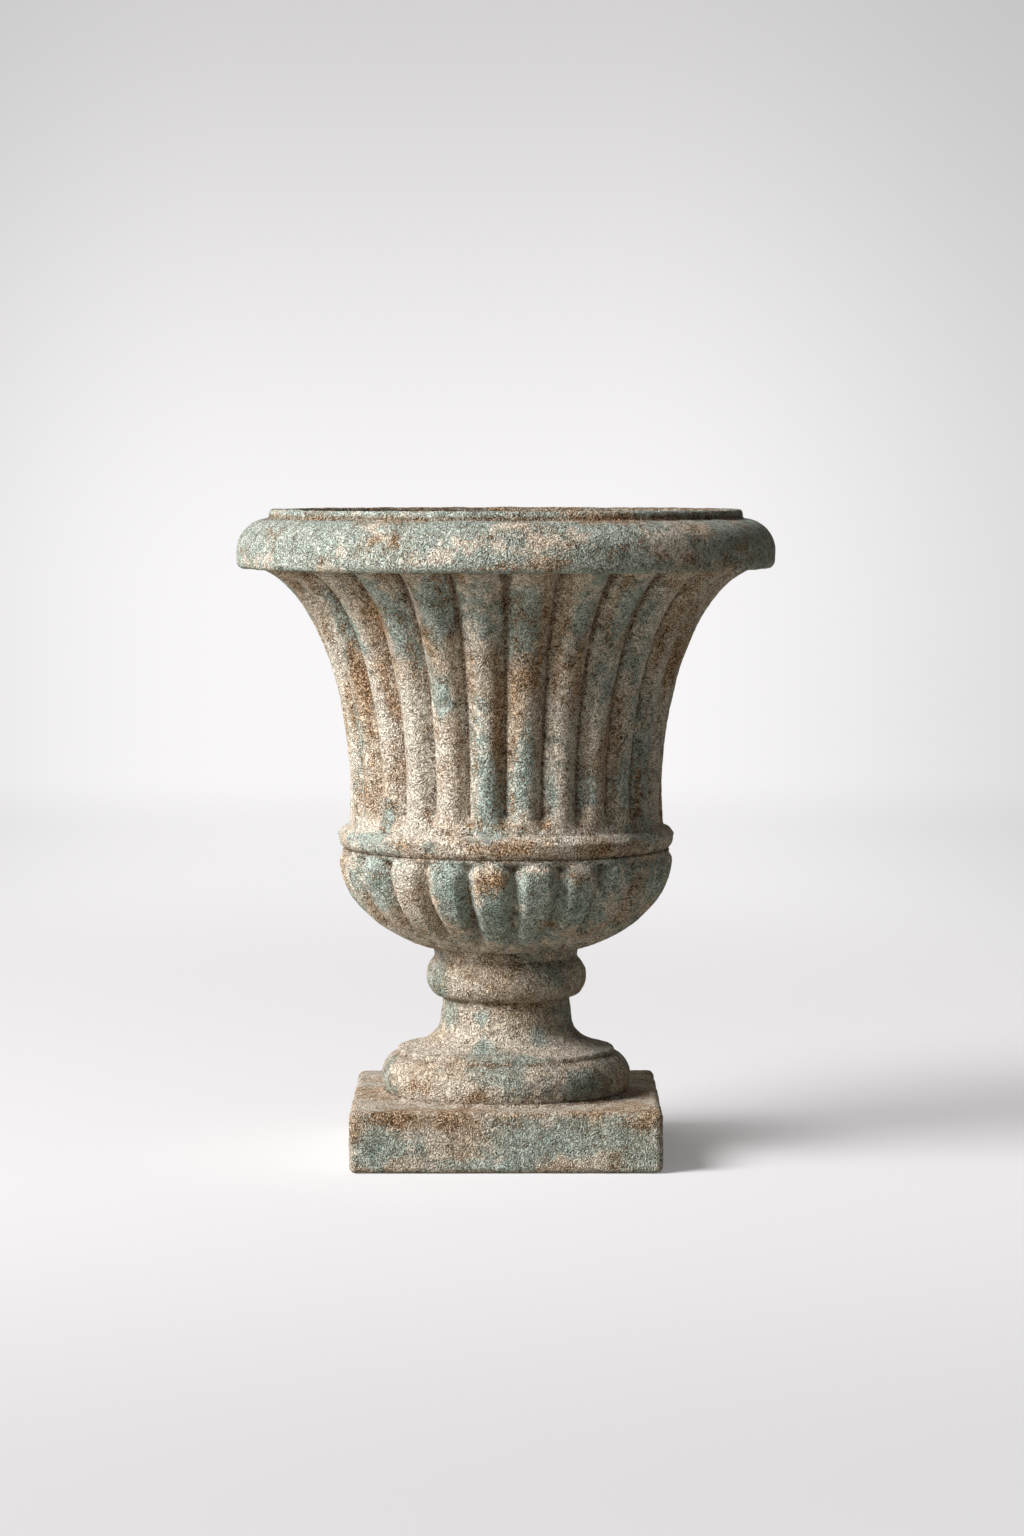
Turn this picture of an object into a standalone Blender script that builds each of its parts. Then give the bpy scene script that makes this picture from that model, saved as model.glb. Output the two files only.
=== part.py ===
# Fluted garden pot: a campana urn in cast iron, cast in five pieces and bolted together from inside.
# Units are metres, +Z is up, and the origin is the centre of the plinth's underside.
# Angles round the pot start at the front, -Y, and grow towards +X.

import math

import bmesh
import bpy
from mathutils import Matrix

# Clearances shared by every joint
SEAT_GAP = 0.0003           # between two faces that rest on each other
SPIGOT_GAP = 0.0005         # all round a spigot in its socket
HOLE_CLEARANCE = 0.0006     # all round a bolt, a rod or a nut's thread
CUT_OVERRUN = 0.001         # how far a hole's cutter runs past the face that it opens

# Castings in general
CASTING_WALL = 0.0085
SPIGOT_DEPTH = 0.005
SPIGOT_WALL = 0.005

# Stem, from the collar down to the foot
WAIST_RADIUS = 0.0472       # narrowest point, just under the knop
STEM_WALL = 0.0102
COLLAR_OVERHANG = 0.0072
COLLAR_TAPER = 0.001
COLLAR_HEIGHT = 0.0061
KNOP_BULGE = 0.0125
KNOP_HEIGHT = 0.0318
WAIST_FLARE = 0.0018
WAIST_HEIGHT = 0.0165
CAVETTO_WIDTH = 0.0318
CAVETTO_HEIGHT = 0.0217
CAVETTO_TURN = 75.0         # degrees of its ellipse that the cavetto runs through, short of flat
FILLET_HEIGHT = 0.0035
TORUS_OVERHANG = 0.0122
TORUS_BULGE = 0.014         # how far the torus stands out from its centre line
TORUS_HEIGHT = 0.0295
TORUS_CENTRE_HEIGHT = 0.0117
FOOT_WALL = 0.016
FOOT_CROWN = 0.004          # metal over the foot's hollow, below the fillet

# Plinth
PLINTH_MARGIN = 0.021       # from the torus out to the plinth's edge
PLINTH_HEIGHT = 0.045
PLINTH_WALL = 0.010
PLINTH_TOP_PLATE = 0.010
PLINTH_EDGE_RADIUS = 0.0035
PLINTH_POCKET_RADIUS = 0.012
PLINTH_HOLE_RADIUS = 0.045

# Fluted bell
BELL_WAIST_RADIUS = 0.1162  # over the crests of the reeds, where the bell is narrowest
BELL_HEIGHT = 0.2077
BELL_WAIST_HEIGHT = 0.0377  # from the foot of the bell up to its narrowest point
FLARE_TURN = 81.3           # degrees of the quarter ellipse that the flare runs through
FLUTE_COUNT = 26
FLUTE_DEPTH = 0.0042
FLUTE_END_LENGTH = 0.011    # length of a flute's rounded end
FLUTE_TOP_MARGIN = 0.005    # plain band between the flutes and the rim
FLUTE_FOOT_MARGIN = 0.0035  # plain band between the flutes and the bead
BEAD_OVERHANG = 0.0084
BEAD_BULGE = 0.0062
BEAD_HEIGHT = 0.0160

# Gadrooned bowl
BOWL_OVERHANG = 0.008       # from the bell's waist out to the crests of the lobes
BOWL_HEIGHT = 0.0736
BOWL_SHOULDER = 0.007       # radius of the turned-in shoulder below the bead
BOWL_FOOT_STEP = 0.0066     # from the collar out to the bowl's flat foot
BOWL_FLOOR = 0.010
GADROON_COUNT = 22
GADROON_DEPTH = 0.0050
GADROON_TURN = 3.0          # degrees from the front to the nearest groove
GADROON_ARCH = 0.0075       # height over which a lobe's top is arched
GADROON_FADE = 0.030        # height over which the lobes die out above the stem
DRAIN_COUNT = 4
DRAIN_RADIUS = 0.005

# Rim
RIM_RADIUS = 0.200
RIM_OVERHANG = 0.016        # from the bell's top out to the rim's widest point
RIM_HEIGHT = 0.0437
RIM_WALL = 0.008
ROLL_WIDTH = 0.0242         # quarter ellipse from the lip out and down to the widest point
ROLL_HEIGHT = 0.024
RIM_UNDER_RADIUS = 0.005
LIP_STEP = 0.007
LIP_WALL = 0.0073
LIP_EDGE_RADIUS = 0.0016

# Bolted joints between bowl and bell, and between bell and rim
JOINT_FLANGE = 0.008
JOINT_BOLT_MARGIN = 0.0017  # from a bolt's head out to the bell's inner wall
JOINT_FLANGE_EDGE = 0.0115  # from the bolts' centres in to the flanges' edge
JOINT_BOLT_COUNT = 6
MOUTH_FLANGE = 0.012
MOUTH_SCREW_INSET = 0.002   # from the bell's inner wall in to the screws' centres
MOUTH_FLANGE_EDGE = 0.010
MOUTH_SCREW_COUNT = 6
MOUTH_SCREW_TURN = 30.0     # degrees from the front to the first screw

# Fasteners
BOLT_RADIUS = 0.004
BOLT_ACROSS_FLATS = 0.013
BOLT_HEAD_HEIGHT = 0.0053
BOLT_NUT_HEIGHT = 0.0065
BOLT_WASHER_RADIUS = 0.0077
BOLT_WASHER_THICKNESS = 0.0016
BOLT_SPARE_THREAD = 0.002
ROD_RADIUS = 0.006
ROD_ACROSS_FLATS = 0.018
ROD_NUT_HEIGHT = 0.010
ROD_WASHER_RADIUS = 0.012
ROD_WASHER_THICKNESS = 0.0025
ROD_SPARE_THREAD = 0.003
BAR_BEARING = 0.030         # length of bar on the plate at each side of the plinth's hole
BAR_WIDTH = 0.030
BAR_THICKNESS = 0.006
BAR_EDGE_RADIUS = 0.002

# Facets round each form. A spigot has as many as its socket, so that their flats face.
RIM_COLUMNS = 48
STEM_COLUMNS = 40
BEAD_COLUMNS = 44
INNER_COLUMNS = 32
DISC_COLUMNS = 8
HOLE_COLUMNS = 8
HEX_COLUMNS = 6
# Steps along each curve
KNOP_STEPS = 6
CAVETTO_STEPS = 4
TORUS_STEPS = 5
FOOT_HOLLOW_STEPS = 2
SHOULDER_STEPS = 2
BOWL_STEPS = 7
BOWL_INSIDE_STEPS = 4
BELL_STEPS = 6
BELL_INSIDE_STEPS = 5
BEAD_STEPS = 4
ROLL_STEPS = 5
ROLL_INSIDE_STEPS = 2
RIM_UNDER_STEPS = 2
EDGE_STEPS = 1              # chamfers on the lip and the bar
PLINTH_EDGE_STEPS = 2
FLUTE_END_RUNS = (0.0, 0.2, 1.0)    # rings along a flute's end, as shares of its length
# Where the corners of one flute or lobe lie across its pitch, from the middle of its groove
FLUTE_CORNERS = (-0.10, 0.10, 0.27, 0.50, 0.73)
GADROON_CORNERS = (0.0, 0.13, 0.36, 0.64, 0.87)
FLUTE_GROOVE_SHARE = 0.42   # share of the pitch on each side that a groove's flank takes
GADROON_GROOVE_SHARE = 0.30
CROWN_SHARE = 0.2           # share of the depth that is the crest's own gentle crown
SMOOTH_ANGLE = 38.0         # degrees between facets up to which they're shaded as one curve
EDGE_ANGLE = 40.0           # degrees from which an edge counts as a corner to round
MERGE_DISTANCE = 0.00001    # closes the seam of a turned piece
SAME_SHARE = 1e-6           # shares of a turn closer than this are one column
INNER_WALL_PASSES = 12      # enough for the inner wall's radius to settle

# Finishes: linear colour, roughness and metallic
VERDIGRIS = ((0.17, 0.30, 0.28), 0.85, 0.0)
LIMEWASH = ((0.42, 0.36, 0.28), 0.90, 0.0)
RUST = ((0.16, 0.07, 0.035), 0.75, 0.4)

# Radii and heights that follow from the sizes above
COLLAR_RADIUS = WAIST_RADIUS + COLLAR_OVERHANG
KNOP_RADIUS = WAIST_RADIUS + KNOP_BULGE
STEM_BORE_RADIUS = WAIST_RADIUS - STEM_WALL
WAIST_FOOT_RADIUS = WAIST_RADIUS + WAIST_FLARE
FILLET_RADIUS = WAIST_FOOT_RADIUS + CAVETTO_WIDTH
TORUS_RADIUS = FILLET_RADIUS + TORUS_OVERHANG
FOOT_BORE_RADIUS = TORUS_RADIUS - FOOT_WALL
PLINTH_SIDE = 2.0 * (TORUS_RADIUS + PLINTH_MARGIN)
BEAD_RADIUS = BELL_WAIST_RADIUS + BEAD_OVERHANG
BOWL_RADIUS = BELL_WAIST_RADIUS + BOWL_OVERHANG
BOWL_FOOT_RADIUS = COLLAR_RADIUS + BOWL_FOOT_STEP
BELL_TOP_RADIUS = RIM_RADIUS - RIM_OVERHANG
LIP_RADIUS = RIM_RADIUS - ROLL_WIDTH
BAR_LENGTH = 2.0 * (PLINTH_HOLE_RADIUS + BAR_BEARING)
BOLT_HEX_RADIUS = BOLT_ACROSS_FLATS / math.sqrt(3.0)
ROD_HEX_RADIUS = ROD_ACROSS_FLATS / math.sqrt(3.0)
BOLT_HOLE_RADIUS = BOLT_RADIUS + HOLE_CLEARANCE
ROD_HOLE_RADIUS = ROD_RADIUS + HOLE_CLEARANCE

STEM_FOOT_Z = PLINTH_HEIGHT + SEAT_GAP
FILLET_Z = STEM_FOOT_Z + TORUS_HEIGHT
CAVETTO_Z = FILLET_Z + FILLET_HEIGHT
WAIST_Z = CAVETTO_Z + CAVETTO_HEIGHT
KNOP_Z = WAIST_Z + WAIST_HEIGHT
COLLAR_Z = KNOP_Z + KNOP_HEIGHT
STEM_TOP_Z = COLLAR_Z + COLLAR_HEIGHT
BOWL_FOOT_Z = STEM_TOP_Z + SEAT_GAP
BOWL_TOP_Z = BOWL_FOOT_Z + BOWL_HEIGHT
BOWL_CENTRE_Z = BOWL_TOP_Z - BOWL_SHOULDER
BELL_FOOT_Z = BOWL_TOP_Z + SEAT_GAP
BELL_WAIST_Z = BELL_FOOT_Z + BELL_WAIST_HEIGHT
BELL_TOP_Z = BELL_FOOT_Z + BELL_HEIGHT
MOUTH_UNDER_Z = BELL_TOP_Z - MOUTH_FLANGE
RIM_FOOT_Z = BELL_TOP_Z + SEAT_GAP
RIM_TOP_Z = RIM_FOOT_Z + RIM_HEIGHT

# Half axes of the ellipses that the bell's flare and the bowl's wall follow
FLARE_HEIGHT = (BELL_TOP_Z - BELL_WAIST_Z) / math.sin(math.radians(FLARE_TURN))
FLARE_WIDTH = (BELL_TOP_RADIUS - BELL_WAIST_RADIUS) / (1.0 - math.cos(math.radians(FLARE_TURN)))
BOWL_FOOT_TURN = math.acos(BOWL_FOOT_RADIUS / BOWL_RADIUS)
BOWL_CURVE_HEIGHT = (BOWL_CENTRE_Z - BOWL_FOOT_Z) / math.sin(BOWL_FOOT_TURN)

# Spigots take their size from the socket that they enter
BOWL_SPIGOT_RADIUS = STEM_BORE_RADIUS - SPIGOT_GAP
DRAIN_CIRCLE_RADIUS = (ROD_WASHER_RADIUS + BOWL_SPIGOT_RADIUS - SPIGOT_WALL) / 2.0
JOINT_CIRCLE_RADIUS = BELL_WAIST_RADIUS - CASTING_WALL - JOINT_BOLT_MARGIN - BOLT_HEX_RADIUS
JOINT_BORE_RADIUS = JOINT_CIRCLE_RADIUS - JOINT_FLANGE_EDGE
BELL_SPIGOT_RADIUS = JOINT_BORE_RADIUS - SPIGOT_GAP


# Walls of the bell and the bowl

def bell_point(height, inset):
    """Radius, height and lean of the bell's wall, a quarter ellipse that flares up from the waist."""
    share = (height - BELL_WAIST_Z) / FLARE_HEIGHT
    root = math.sqrt(1.0 - share * share)
    radius = BELL_WAIST_RADIUS + FLARE_WIDTH * (1.0 - root)
    lean = math.atan(FLARE_WIDTH / FLARE_HEIGHT * share / root)
    return radius - inset * math.cos(lean), height + inset * math.sin(lean), lean


def bell_inner_radius(height):
    """Radius of the bell's inner wall at a height, found by stepping down the slanting wall."""
    outer = height
    for _ in range(INNER_WALL_PASSES):
        outer = height - CASTING_WALL * math.sin(bell_point(outer, 0.0)[2])
    return bell_point(outer, CASTING_WALL)[0]


def bowl_point(turn, inset):
    """Radius, height and lean of the bowl's wall, at an angle below its widest point."""
    radius = (BOWL_RADIUS - inset) * math.cos(turn)
    height = BOWL_CENTRE_Z - (BOWL_CURVE_HEIGHT - inset) * math.sin(turn)
    lean = math.atan2(BOWL_RADIUS * math.sin(turn), BOWL_CURVE_HEIGHT * math.cos(turn))
    return radius, height, -lean


MOUTH_CIRCLE_RADIUS = bell_inner_radius(MOUTH_UNDER_Z) - MOUTH_SCREW_INSET
MOUTH_BORE_RADIUS = MOUTH_CIRCLE_RADIUS - MOUTH_FLANGE_EDGE
RIM_SPIGOT_RADIUS = MOUTH_BORE_RADIUS - SPIGOT_GAP


# Scene and mesh helpers

def clear_scene():
    for old in list(bpy.data.objects):
        bpy.data.objects.remove(old, do_unlink=True)


def make_collection(name):
    made = bpy.data.collections.new(name)
    bpy.context.scene.collection.children.link(made)
    return made


def make_material(name, finish):
    colour, roughness, metallic = finish
    made = bpy.data.materials.new(name)
    made.use_nodes = True
    shader = made.node_tree.nodes["Principled BSDF"]
    shader.inputs["Base Color"].default_value = (*colour, 1.0)
    shader.inputs["Roughness"].default_value = roughness
    shader.inputs["Metallic"].default_value = metallic
    made.diffuse_color = (*colour, 1.0)
    return made


def make_mesh(name, bm, material):
    """Store a bmesh, with smooth sides and sharp corners where it has a finish."""
    mesh = bpy.data.meshes.new(name)
    bm.to_mesh(mesh)
    bm.free()
    if material:
        mesh.materials.append(material)
        mesh.shade_smooth()
        mesh.set_sharp_from_angle(angle=math.radians(SMOOTH_ANGLE))
    return mesh


def place_object(name, mesh, place, collection):
    made = bpy.data.objects.new(name, mesh)
    made.location = place
    collection.objects.link(made)
    return made


def place_copies(name, mesh, centres, height, parts):
    """One object for each copy of a repeated piece, numbered from 1."""
    for number, (x, y) in enumerate(centres, 1):
        place_object(f"{name}_{number}", mesh, (x, y, height), parts)


def add_object(name, bm, collection, material=None):
    return place_object(name, make_mesh(name, bm, material), (0.0, 0.0, 0.0), collection)


def add_boolean(target, cutter, operation="DIFFERENCE"):
    cutter.hide_render = True
    cutter.display_type = "WIRE"
    modifier = target.modifiers.new(operation.lower(), "BOOLEAN")
    modifier.operation = operation
    modifier.solver = "EXACT"
    modifier.object = cutter


def add_bevel(target, width, segments):
    modifier = target.modifiers.new("rounded_edges", "BEVEL")
    modifier.width = width
    modifier.segments = segments
    modifier.limit_method = "ANGLE"
    modifier.angle_limit = math.radians(EDGE_ANGLE)


# Turned pieces, from profiles of (radius, height) points

def arc(centre, half_axes, start, end, steps):
    """Points along an ellipse from one angle to another, in degrees above the +radius direction."""
    points = []
    for step in range(steps + 1):
        angle = math.radians(start + (end - start) * step / steps)
        points.append((centre[0] + half_axes[0] * math.cos(angle),
                       centre[1] + half_axes[1] * math.sin(angle)))
    return points


def turn_profile(name, profile, columns, collection, material):
    """Revolve a closed profile, listed down its outer side, about the pot's axis."""
    bm = bmesh.new()
    corners = [bm.verts.new((radius, 0.0, height)) for radius, height in profile]
    for first, second in zip(corners, corners[1:] + corners[:1]):
        bm.edges.new((first, second))
    made = add_object(name, bm, collection, material)
    screw = made.modifiers.new("turned", "SCREW")
    screw.steps = columns
    screw.render_steps = columns
    screw.use_merge_vertices = True
    screw.merge_threshold = MERGE_DISTANCE
    return made


# Lofted pieces, from rings of unlike counts bridged one to the next

def plain_ring(radius, height, columns):
    """A round section, as (share of a turn, radius, height) corners."""
    return [(column / columns, radius, height) for column in range(columns)]


def groove_shape(away, groove_share):
    """Depth at a distance from the groove's middle: 1 there, a soft flank, then a crown up to 0."""
    flank = 0.5 + 0.5 * math.cos(math.pi * min(away / groove_share, 1.0))
    crown = (1.0 - 2.0 * away) ** 2
    return (1.0 - CROWN_SHARE) * flank + CROWN_SHARE * crown


def grooved_ring(place, depth, count, turn, corners, groove_share):
    """A section whose grooves are sunk square to a wall that leans out from the upright."""
    radius, height, lean = place
    ring = []
    for pitch in range(count):
        for corner in corners:
            away = abs(corner - round(corner))
            sunk = depth * groove_shape(away, groove_share)
            share = (pitch + corner) / count + turn / 360.0
            ring.append((share % 1.0, radius - sunk * math.cos(lean), height + sunk * math.sin(lean)))
    return sorted(ring)


def place_ring(bm, ring):
    placed = []
    for share, radius, height in ring:
        angle = share * math.tau
        vertex = bm.verts.new((radius * math.sin(angle), -radius * math.cos(angle), height))
        placed.append((share, vertex))
    return placed


def turn_ring(ring, share):
    """The ring started at its corner nearest a share of a turn, and closed by its first corner."""
    start = min(range(len(ring)), key=lambda at: abs(ring[at][0] - share - round(ring[at][0] - share)))
    turned = ring[start:] + [(at + 1.0, vertex) for at, vertex in ring[:start]]
    shift = round(turned[0][0] - share)
    turned = [(at - shift, vertex) for at, vertex in turned]
    return turned + [(turned[0][0] + 1.0, turned[0][1])]


def bridge_rings(bm, upper, lower):
    """Close the band between two rings, stepping along whichever has the nearer next corner."""
    above = turn_ring(upper, upper[0][0])
    below = turn_ring(lower, upper[0][0])
    i = 0
    j = 0
    while i < len(upper) or j < len(lower):
        next_above = above[i + 1][0] if i < len(upper) else math.inf
        next_below = below[j + 1][0] if j < len(lower) else math.inf
        if abs(next_above - next_below) < SAME_SHARE:
            bm.faces.new((above[i][1], below[j][1], below[j + 1][1], above[i + 1][1]))
            i += 1
            j += 1
        elif next_above < next_below:
            bm.faces.new((above[i][1], below[j][1], above[i + 1][1]))
            i += 1
        else:
            bm.faces.new((above[i][1], below[j][1], below[j + 1][1]))
            j += 1


def skin_rings(rings, closed):
    """Skin a chain of rings. A closed chain joins last to first, an open one gets end faces."""
    bm = bmesh.new()
    placed = [place_ring(bm, ring) for ring in rings]
    for upper, lower in zip(placed, placed[1:]):
        bridge_rings(bm, upper, lower)
    if closed:
        bridge_rings(bm, placed[-1], placed[0])
    else:
        bm.faces.new([vertex for _, vertex in placed[0]])
        bm.faces.new([vertex for _, vertex in placed[-1]])
    bmesh.ops.recalc_face_normals(bm, faces=bm.faces)
    return bm


# Holes, boxes and fasteners

def circle_points(count, radius, first_degrees=0.0):
    """Centres spread round a circle, as (x, y), starting from the front."""
    points = []
    for index in range(count):
        angle = math.radians(first_degrees) + index * math.tau / count
        points.append((radius * math.sin(angle), -radius * math.cos(angle)))
    return points


def add_cylinder(bm, radius, low, high, columns, centre):
    half_facet = Matrix.Rotation(math.pi / columns, 4, "Z")
    place = Matrix.Translation((centre[0], centre[1], (low + high) / 2.0)) @ half_facet
    bmesh.ops.create_cone(bm, cap_ends=True, segments=columns, radius1=radius, radius2=radius,
                          depth=high - low, matrix=place)


def make_hole_cutter(name, centres, radius, low, high, cutters, columns=HOLE_COLUMNS):
    """Round cutters at several centres, in one object. The middles of their flats lie at the radius."""
    bm = bmesh.new()
    for centre in centres:
        add_cylinder(bm, radius / math.cos(math.pi / columns), low, high, columns, centre)
    return add_object(name, bm, cutters)


def make_box(name, size, centre, collection, material=None):
    bm = bmesh.new()
    bmesh.ops.create_cube(bm, size=1.0, matrix=Matrix.Translation(centre) @ Matrix.Diagonal((*size, 1.0)))
    return add_object(name, bm, collection, material)


def make_bored_mesh(name, outer, inner, height, columns, material):
    """A washer or a nut standing on height 0. Six columns give a hexagon."""
    bore = inner / math.cos(math.pi / HOLE_COLUMNS)
    rings = [plain_ring(outer, height, columns), plain_ring(outer, 0.0, columns),
             plain_ring(bore, 0.0, HOLE_COLUMNS), plain_ring(bore, height, HOLE_COLUMNS)]
    return make_mesh(name, skin_rings(rings, closed=True), material)


def make_bolt_mesh(name, length, material):
    """A hexagon-headed bolt: the head stands on height 0 and the shank hangs below it."""
    rings = [plain_ring(BOLT_HEX_RADIUS, BOLT_HEAD_HEIGHT, HEX_COLUMNS),
             plain_ring(BOLT_HEX_RADIUS, 0.0, HEX_COLUMNS),
             plain_ring(BOLT_RADIUS, 0.0, HOLE_COLUMNS), plain_ring(BOLT_RADIUS, -length, HOLE_COLUMNS)]
    return make_mesh(name, skin_rings(rings, closed=False), material)


# Castings

def make_plinth(parts, cutters, material):
    """A hollow square block with a drain hole and a ring that centres the stem's foot."""
    plinth = make_box("plinth", (PLINTH_SIDE, PLINTH_SIDE, PLINTH_HEIGHT), (0.0, 0.0, PLINTH_HEIGHT / 2.0),
                      parts, material)
    add_bevel(plinth, PLINTH_EDGE_RADIUS, PLINTH_EDGE_STEPS)
    plate_under = PLINTH_HEIGHT - PLINTH_TOP_PLATE
    add_boolean(plinth, make_pocket_cutter(PLINTH_SIDE - 2.0 * PLINTH_WALL, plate_under, cutters))
    ring_outer = FOOT_BORE_RADIUS - SPIGOT_GAP
    ring_inner = ring_outer - SPIGOT_WALL
    ring_top = PLINTH_HEIGHT + SPIGOT_DEPTH
    ring_root = PLINTH_HEIGHT - PLINTH_TOP_PLATE / 2.0
    ring = turn_profile("plinth_ring", [(ring_outer, ring_top), (ring_outer, ring_root),
                                        (ring_inner, ring_root), (ring_inner, ring_top)],
                        STEM_COLUMNS, cutters, None)
    add_boolean(plinth, ring, "UNION")
    hole = make_hole_cutter("plinth_hole", [(0.0, 0.0)], PLINTH_HOLE_RADIUS, plate_under - CUT_OVERRUN,
                            PLINTH_HEIGHT + CUT_OVERRUN, cutters, INNER_COLUMNS)
    add_boolean(plinth, hole)


def make_pocket_cutter(side, top, cutters):
    """The hollow under the plinth, open below, with its upright corners rounded."""
    height = top + CUT_OVERRUN
    pocket = make_box("plinth_pocket", (side, side, height), (0.0, 0.0, top - height / 2.0), cutters)
    bm = bmesh.new()
    bm.from_mesh(pocket.data)
    upright = [edge for edge in bm.edges
               if abs(edge.verts[0].co.z - edge.verts[1].co.z) > height / 2.0]
    bmesh.ops.bevel(bm, geom=upright, offset=PLINTH_POCKET_RADIUS, segments=PLINTH_EDGE_STEPS,
                    affect="EDGES", profile=0.5)
    bm.to_mesh(pocket.data)
    bm.free()
    return pocket


def stem_outside():
    """Down the collar, the knop, the waist, the cavetto, the fillet and the torus."""
    collar_foot = COLLAR_RADIUS - COLLAR_TAPER
    knop_top = math.degrees(math.acos((collar_foot - WAIST_RADIUS) / KNOP_BULGE))
    torus_rise = TORUS_HEIGHT - TORUS_CENTRE_HEIGHT
    torus_centre = TORUS_RADIUS - TORUS_BULGE
    torus_top = math.degrees(math.acos((FILLET_RADIUS - torus_centre) / TORUS_BULGE))
    torus_foot = -math.degrees(math.asin(TORUS_CENTRE_HEIGHT / torus_rise))
    profile = [(COLLAR_RADIUS, STEM_TOP_Z), (collar_foot, COLLAR_Z)]
    profile += arc((WAIST_RADIUS, KNOP_Z + KNOP_HEIGHT / 2.0), (KNOP_BULGE, KNOP_HEIGHT / 2.0),
                   knop_top, -90.0, KNOP_STEPS)
    cavetto_axes = (CAVETTO_WIDTH / (1.0 - math.cos(math.radians(CAVETTO_TURN))),
                    CAVETTO_HEIGHT / math.sin(math.radians(CAVETTO_TURN)))
    profile += arc((WAIST_FOOT_RADIUS + cavetto_axes[0], WAIST_Z), cavetto_axes, 180.0, 180.0 + CAVETTO_TURN,
                   CAVETTO_STEPS)
    profile += arc((torus_centre, STEM_FOOT_Z + TORUS_CENTRE_HEIGHT), (TORUS_BULGE, torus_rise),
                   torus_top, torus_foot, TORUS_STEPS)
    return profile


def stem_inside():
    """Up the foot's bore, in under the cavetto and up the stem's bore."""
    crown_z = FILLET_Z - FOOT_CROWN
    neck_z = WAIST_Z - CASTING_WALL
    profile = [(FOOT_BORE_RADIUS, STEM_FOOT_Z)]
    profile += arc((FOOT_BORE_RADIUS, neck_z), (FOOT_BORE_RADIUS - STEM_BORE_RADIUS, neck_z - crown_z),
                   270.0, 180.0, FOOT_HOLLOW_STEPS)
    profile += [(STEM_BORE_RADIUS, STEM_TOP_Z)]
    return profile


def make_stem(parts, material):
    turn_profile("stem", stem_outside() + stem_inside(), STEM_COLUMNS, parts, material)


def gadroon_ring(place):
    """A ring of the bowl: lobes arched in at the shoulder and dying out above the stem."""
    height = place[1]
    arch_run = min((BOWL_CENTRE_Z + BOWL_SHOULDER - height) / GADROON_ARCH, 1.0)
    fade_run = min(max((height - BOWL_FOOT_Z) / GADROON_FADE, 0.0), 1.0)
    depth = GADROON_DEPTH * math.sqrt(1.0 - (1.0 - arch_run) ** 2) * math.sqrt(fade_run)
    return grooved_ring(place, depth, GADROON_COUNT, GADROON_TURN, GADROON_CORNERS, GADROON_GROOVE_SHARE)


def bowl_rings():
    """Down the lobes, in along the floor, up the inside and out along the top flange."""
    shoulder = arc((BOWL_RADIUS - BOWL_SHOULDER, BOWL_CENTRE_Z), (BOWL_SHOULDER, BOWL_SHOULDER),
                   90.0, 0.0, SHOULDER_STEPS)
    rings = [plain_ring(*shoulder[0], BEAD_COLUMNS)]
    rings += [gadroon_ring((radius, height, 0.0)) for radius, height in shoulder[1:]]
    for step in range(1, BOWL_STEPS + 1):
        rings.append(gadroon_ring(bowl_point(BOWL_FOOT_TURN * step / BOWL_STEPS, 0.0)))
    spigot_bottom = BOWL_FOOT_Z - SPIGOT_DEPTH
    floor_top = BOWL_FOOT_Z + BOWL_FLOOR
    spigot_bore = BOWL_SPIGOT_RADIUS - SPIGOT_WALL
    rings += [plain_ring(BOWL_SPIGOT_RADIUS, BOWL_FOOT_Z, STEM_COLUMNS),
              plain_ring(BOWL_SPIGOT_RADIUS, spigot_bottom, STEM_COLUMNS),
              plain_ring(spigot_bore, spigot_bottom, INNER_COLUMNS),
              plain_ring(spigot_bore, BOWL_FOOT_Z, INNER_COLUMNS),
              plain_ring(ROD_HOLE_RADIUS, BOWL_FOOT_Z, DISC_COLUMNS),
              plain_ring(ROD_HOLE_RADIUS, floor_top, DISC_COLUMNS)]
    flange_under = BOWL_TOP_Z - JOINT_FLANGE
    inner_height = BOWL_CURVE_HEIGHT - CASTING_WALL
    floor_turn = math.asin((BOWL_CENTRE_Z - floor_top) / inner_height)
    flange_turn = math.asin((BOWL_CENTRE_Z - flange_under) / inner_height)
    for step in range(BOWL_INSIDE_STEPS + 1):
        turn = floor_turn + (flange_turn - floor_turn) * step / BOWL_INSIDE_STEPS
        radius, height, _ = bowl_point(turn, CASTING_WALL)
        rings.append(plain_ring(radius, height, INNER_COLUMNS))
    rings += [plain_ring(JOINT_BORE_RADIUS, flange_under, INNER_COLUMNS),
              plain_ring(JOINT_BORE_RADIUS, BOWL_TOP_Z, INNER_COLUMNS)]
    return rings


def make_bowl(parts, cutters, material):
    """The gadrooned bowl, with its drains and its bolt holes."""
    bowl = add_object("gadrooned_bowl", skin_rings(bowl_rings(), closed=True), parts, material)
    drains = make_hole_cutter("drain_holes", circle_points(DRAIN_COUNT, DRAIN_CIRCLE_RADIUS), DRAIN_RADIUS,
                              BOWL_FOOT_Z - CUT_OVERRUN, BOWL_FOOT_Z + BOWL_FLOOR + CUT_OVERRUN, cutters)
    add_boolean(bowl, drains)
    holes = make_hole_cutter("bowl_bolt_holes", circle_points(JOINT_BOLT_COUNT, JOINT_CIRCLE_RADIUS),
                             BOLT_HOLE_RADIUS, BOWL_TOP_Z - JOINT_FLANGE - CUT_OVERRUN,
                             BOWL_TOP_Z + CUT_OVERRUN, cutters)
    add_boolean(bowl, holes)


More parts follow.
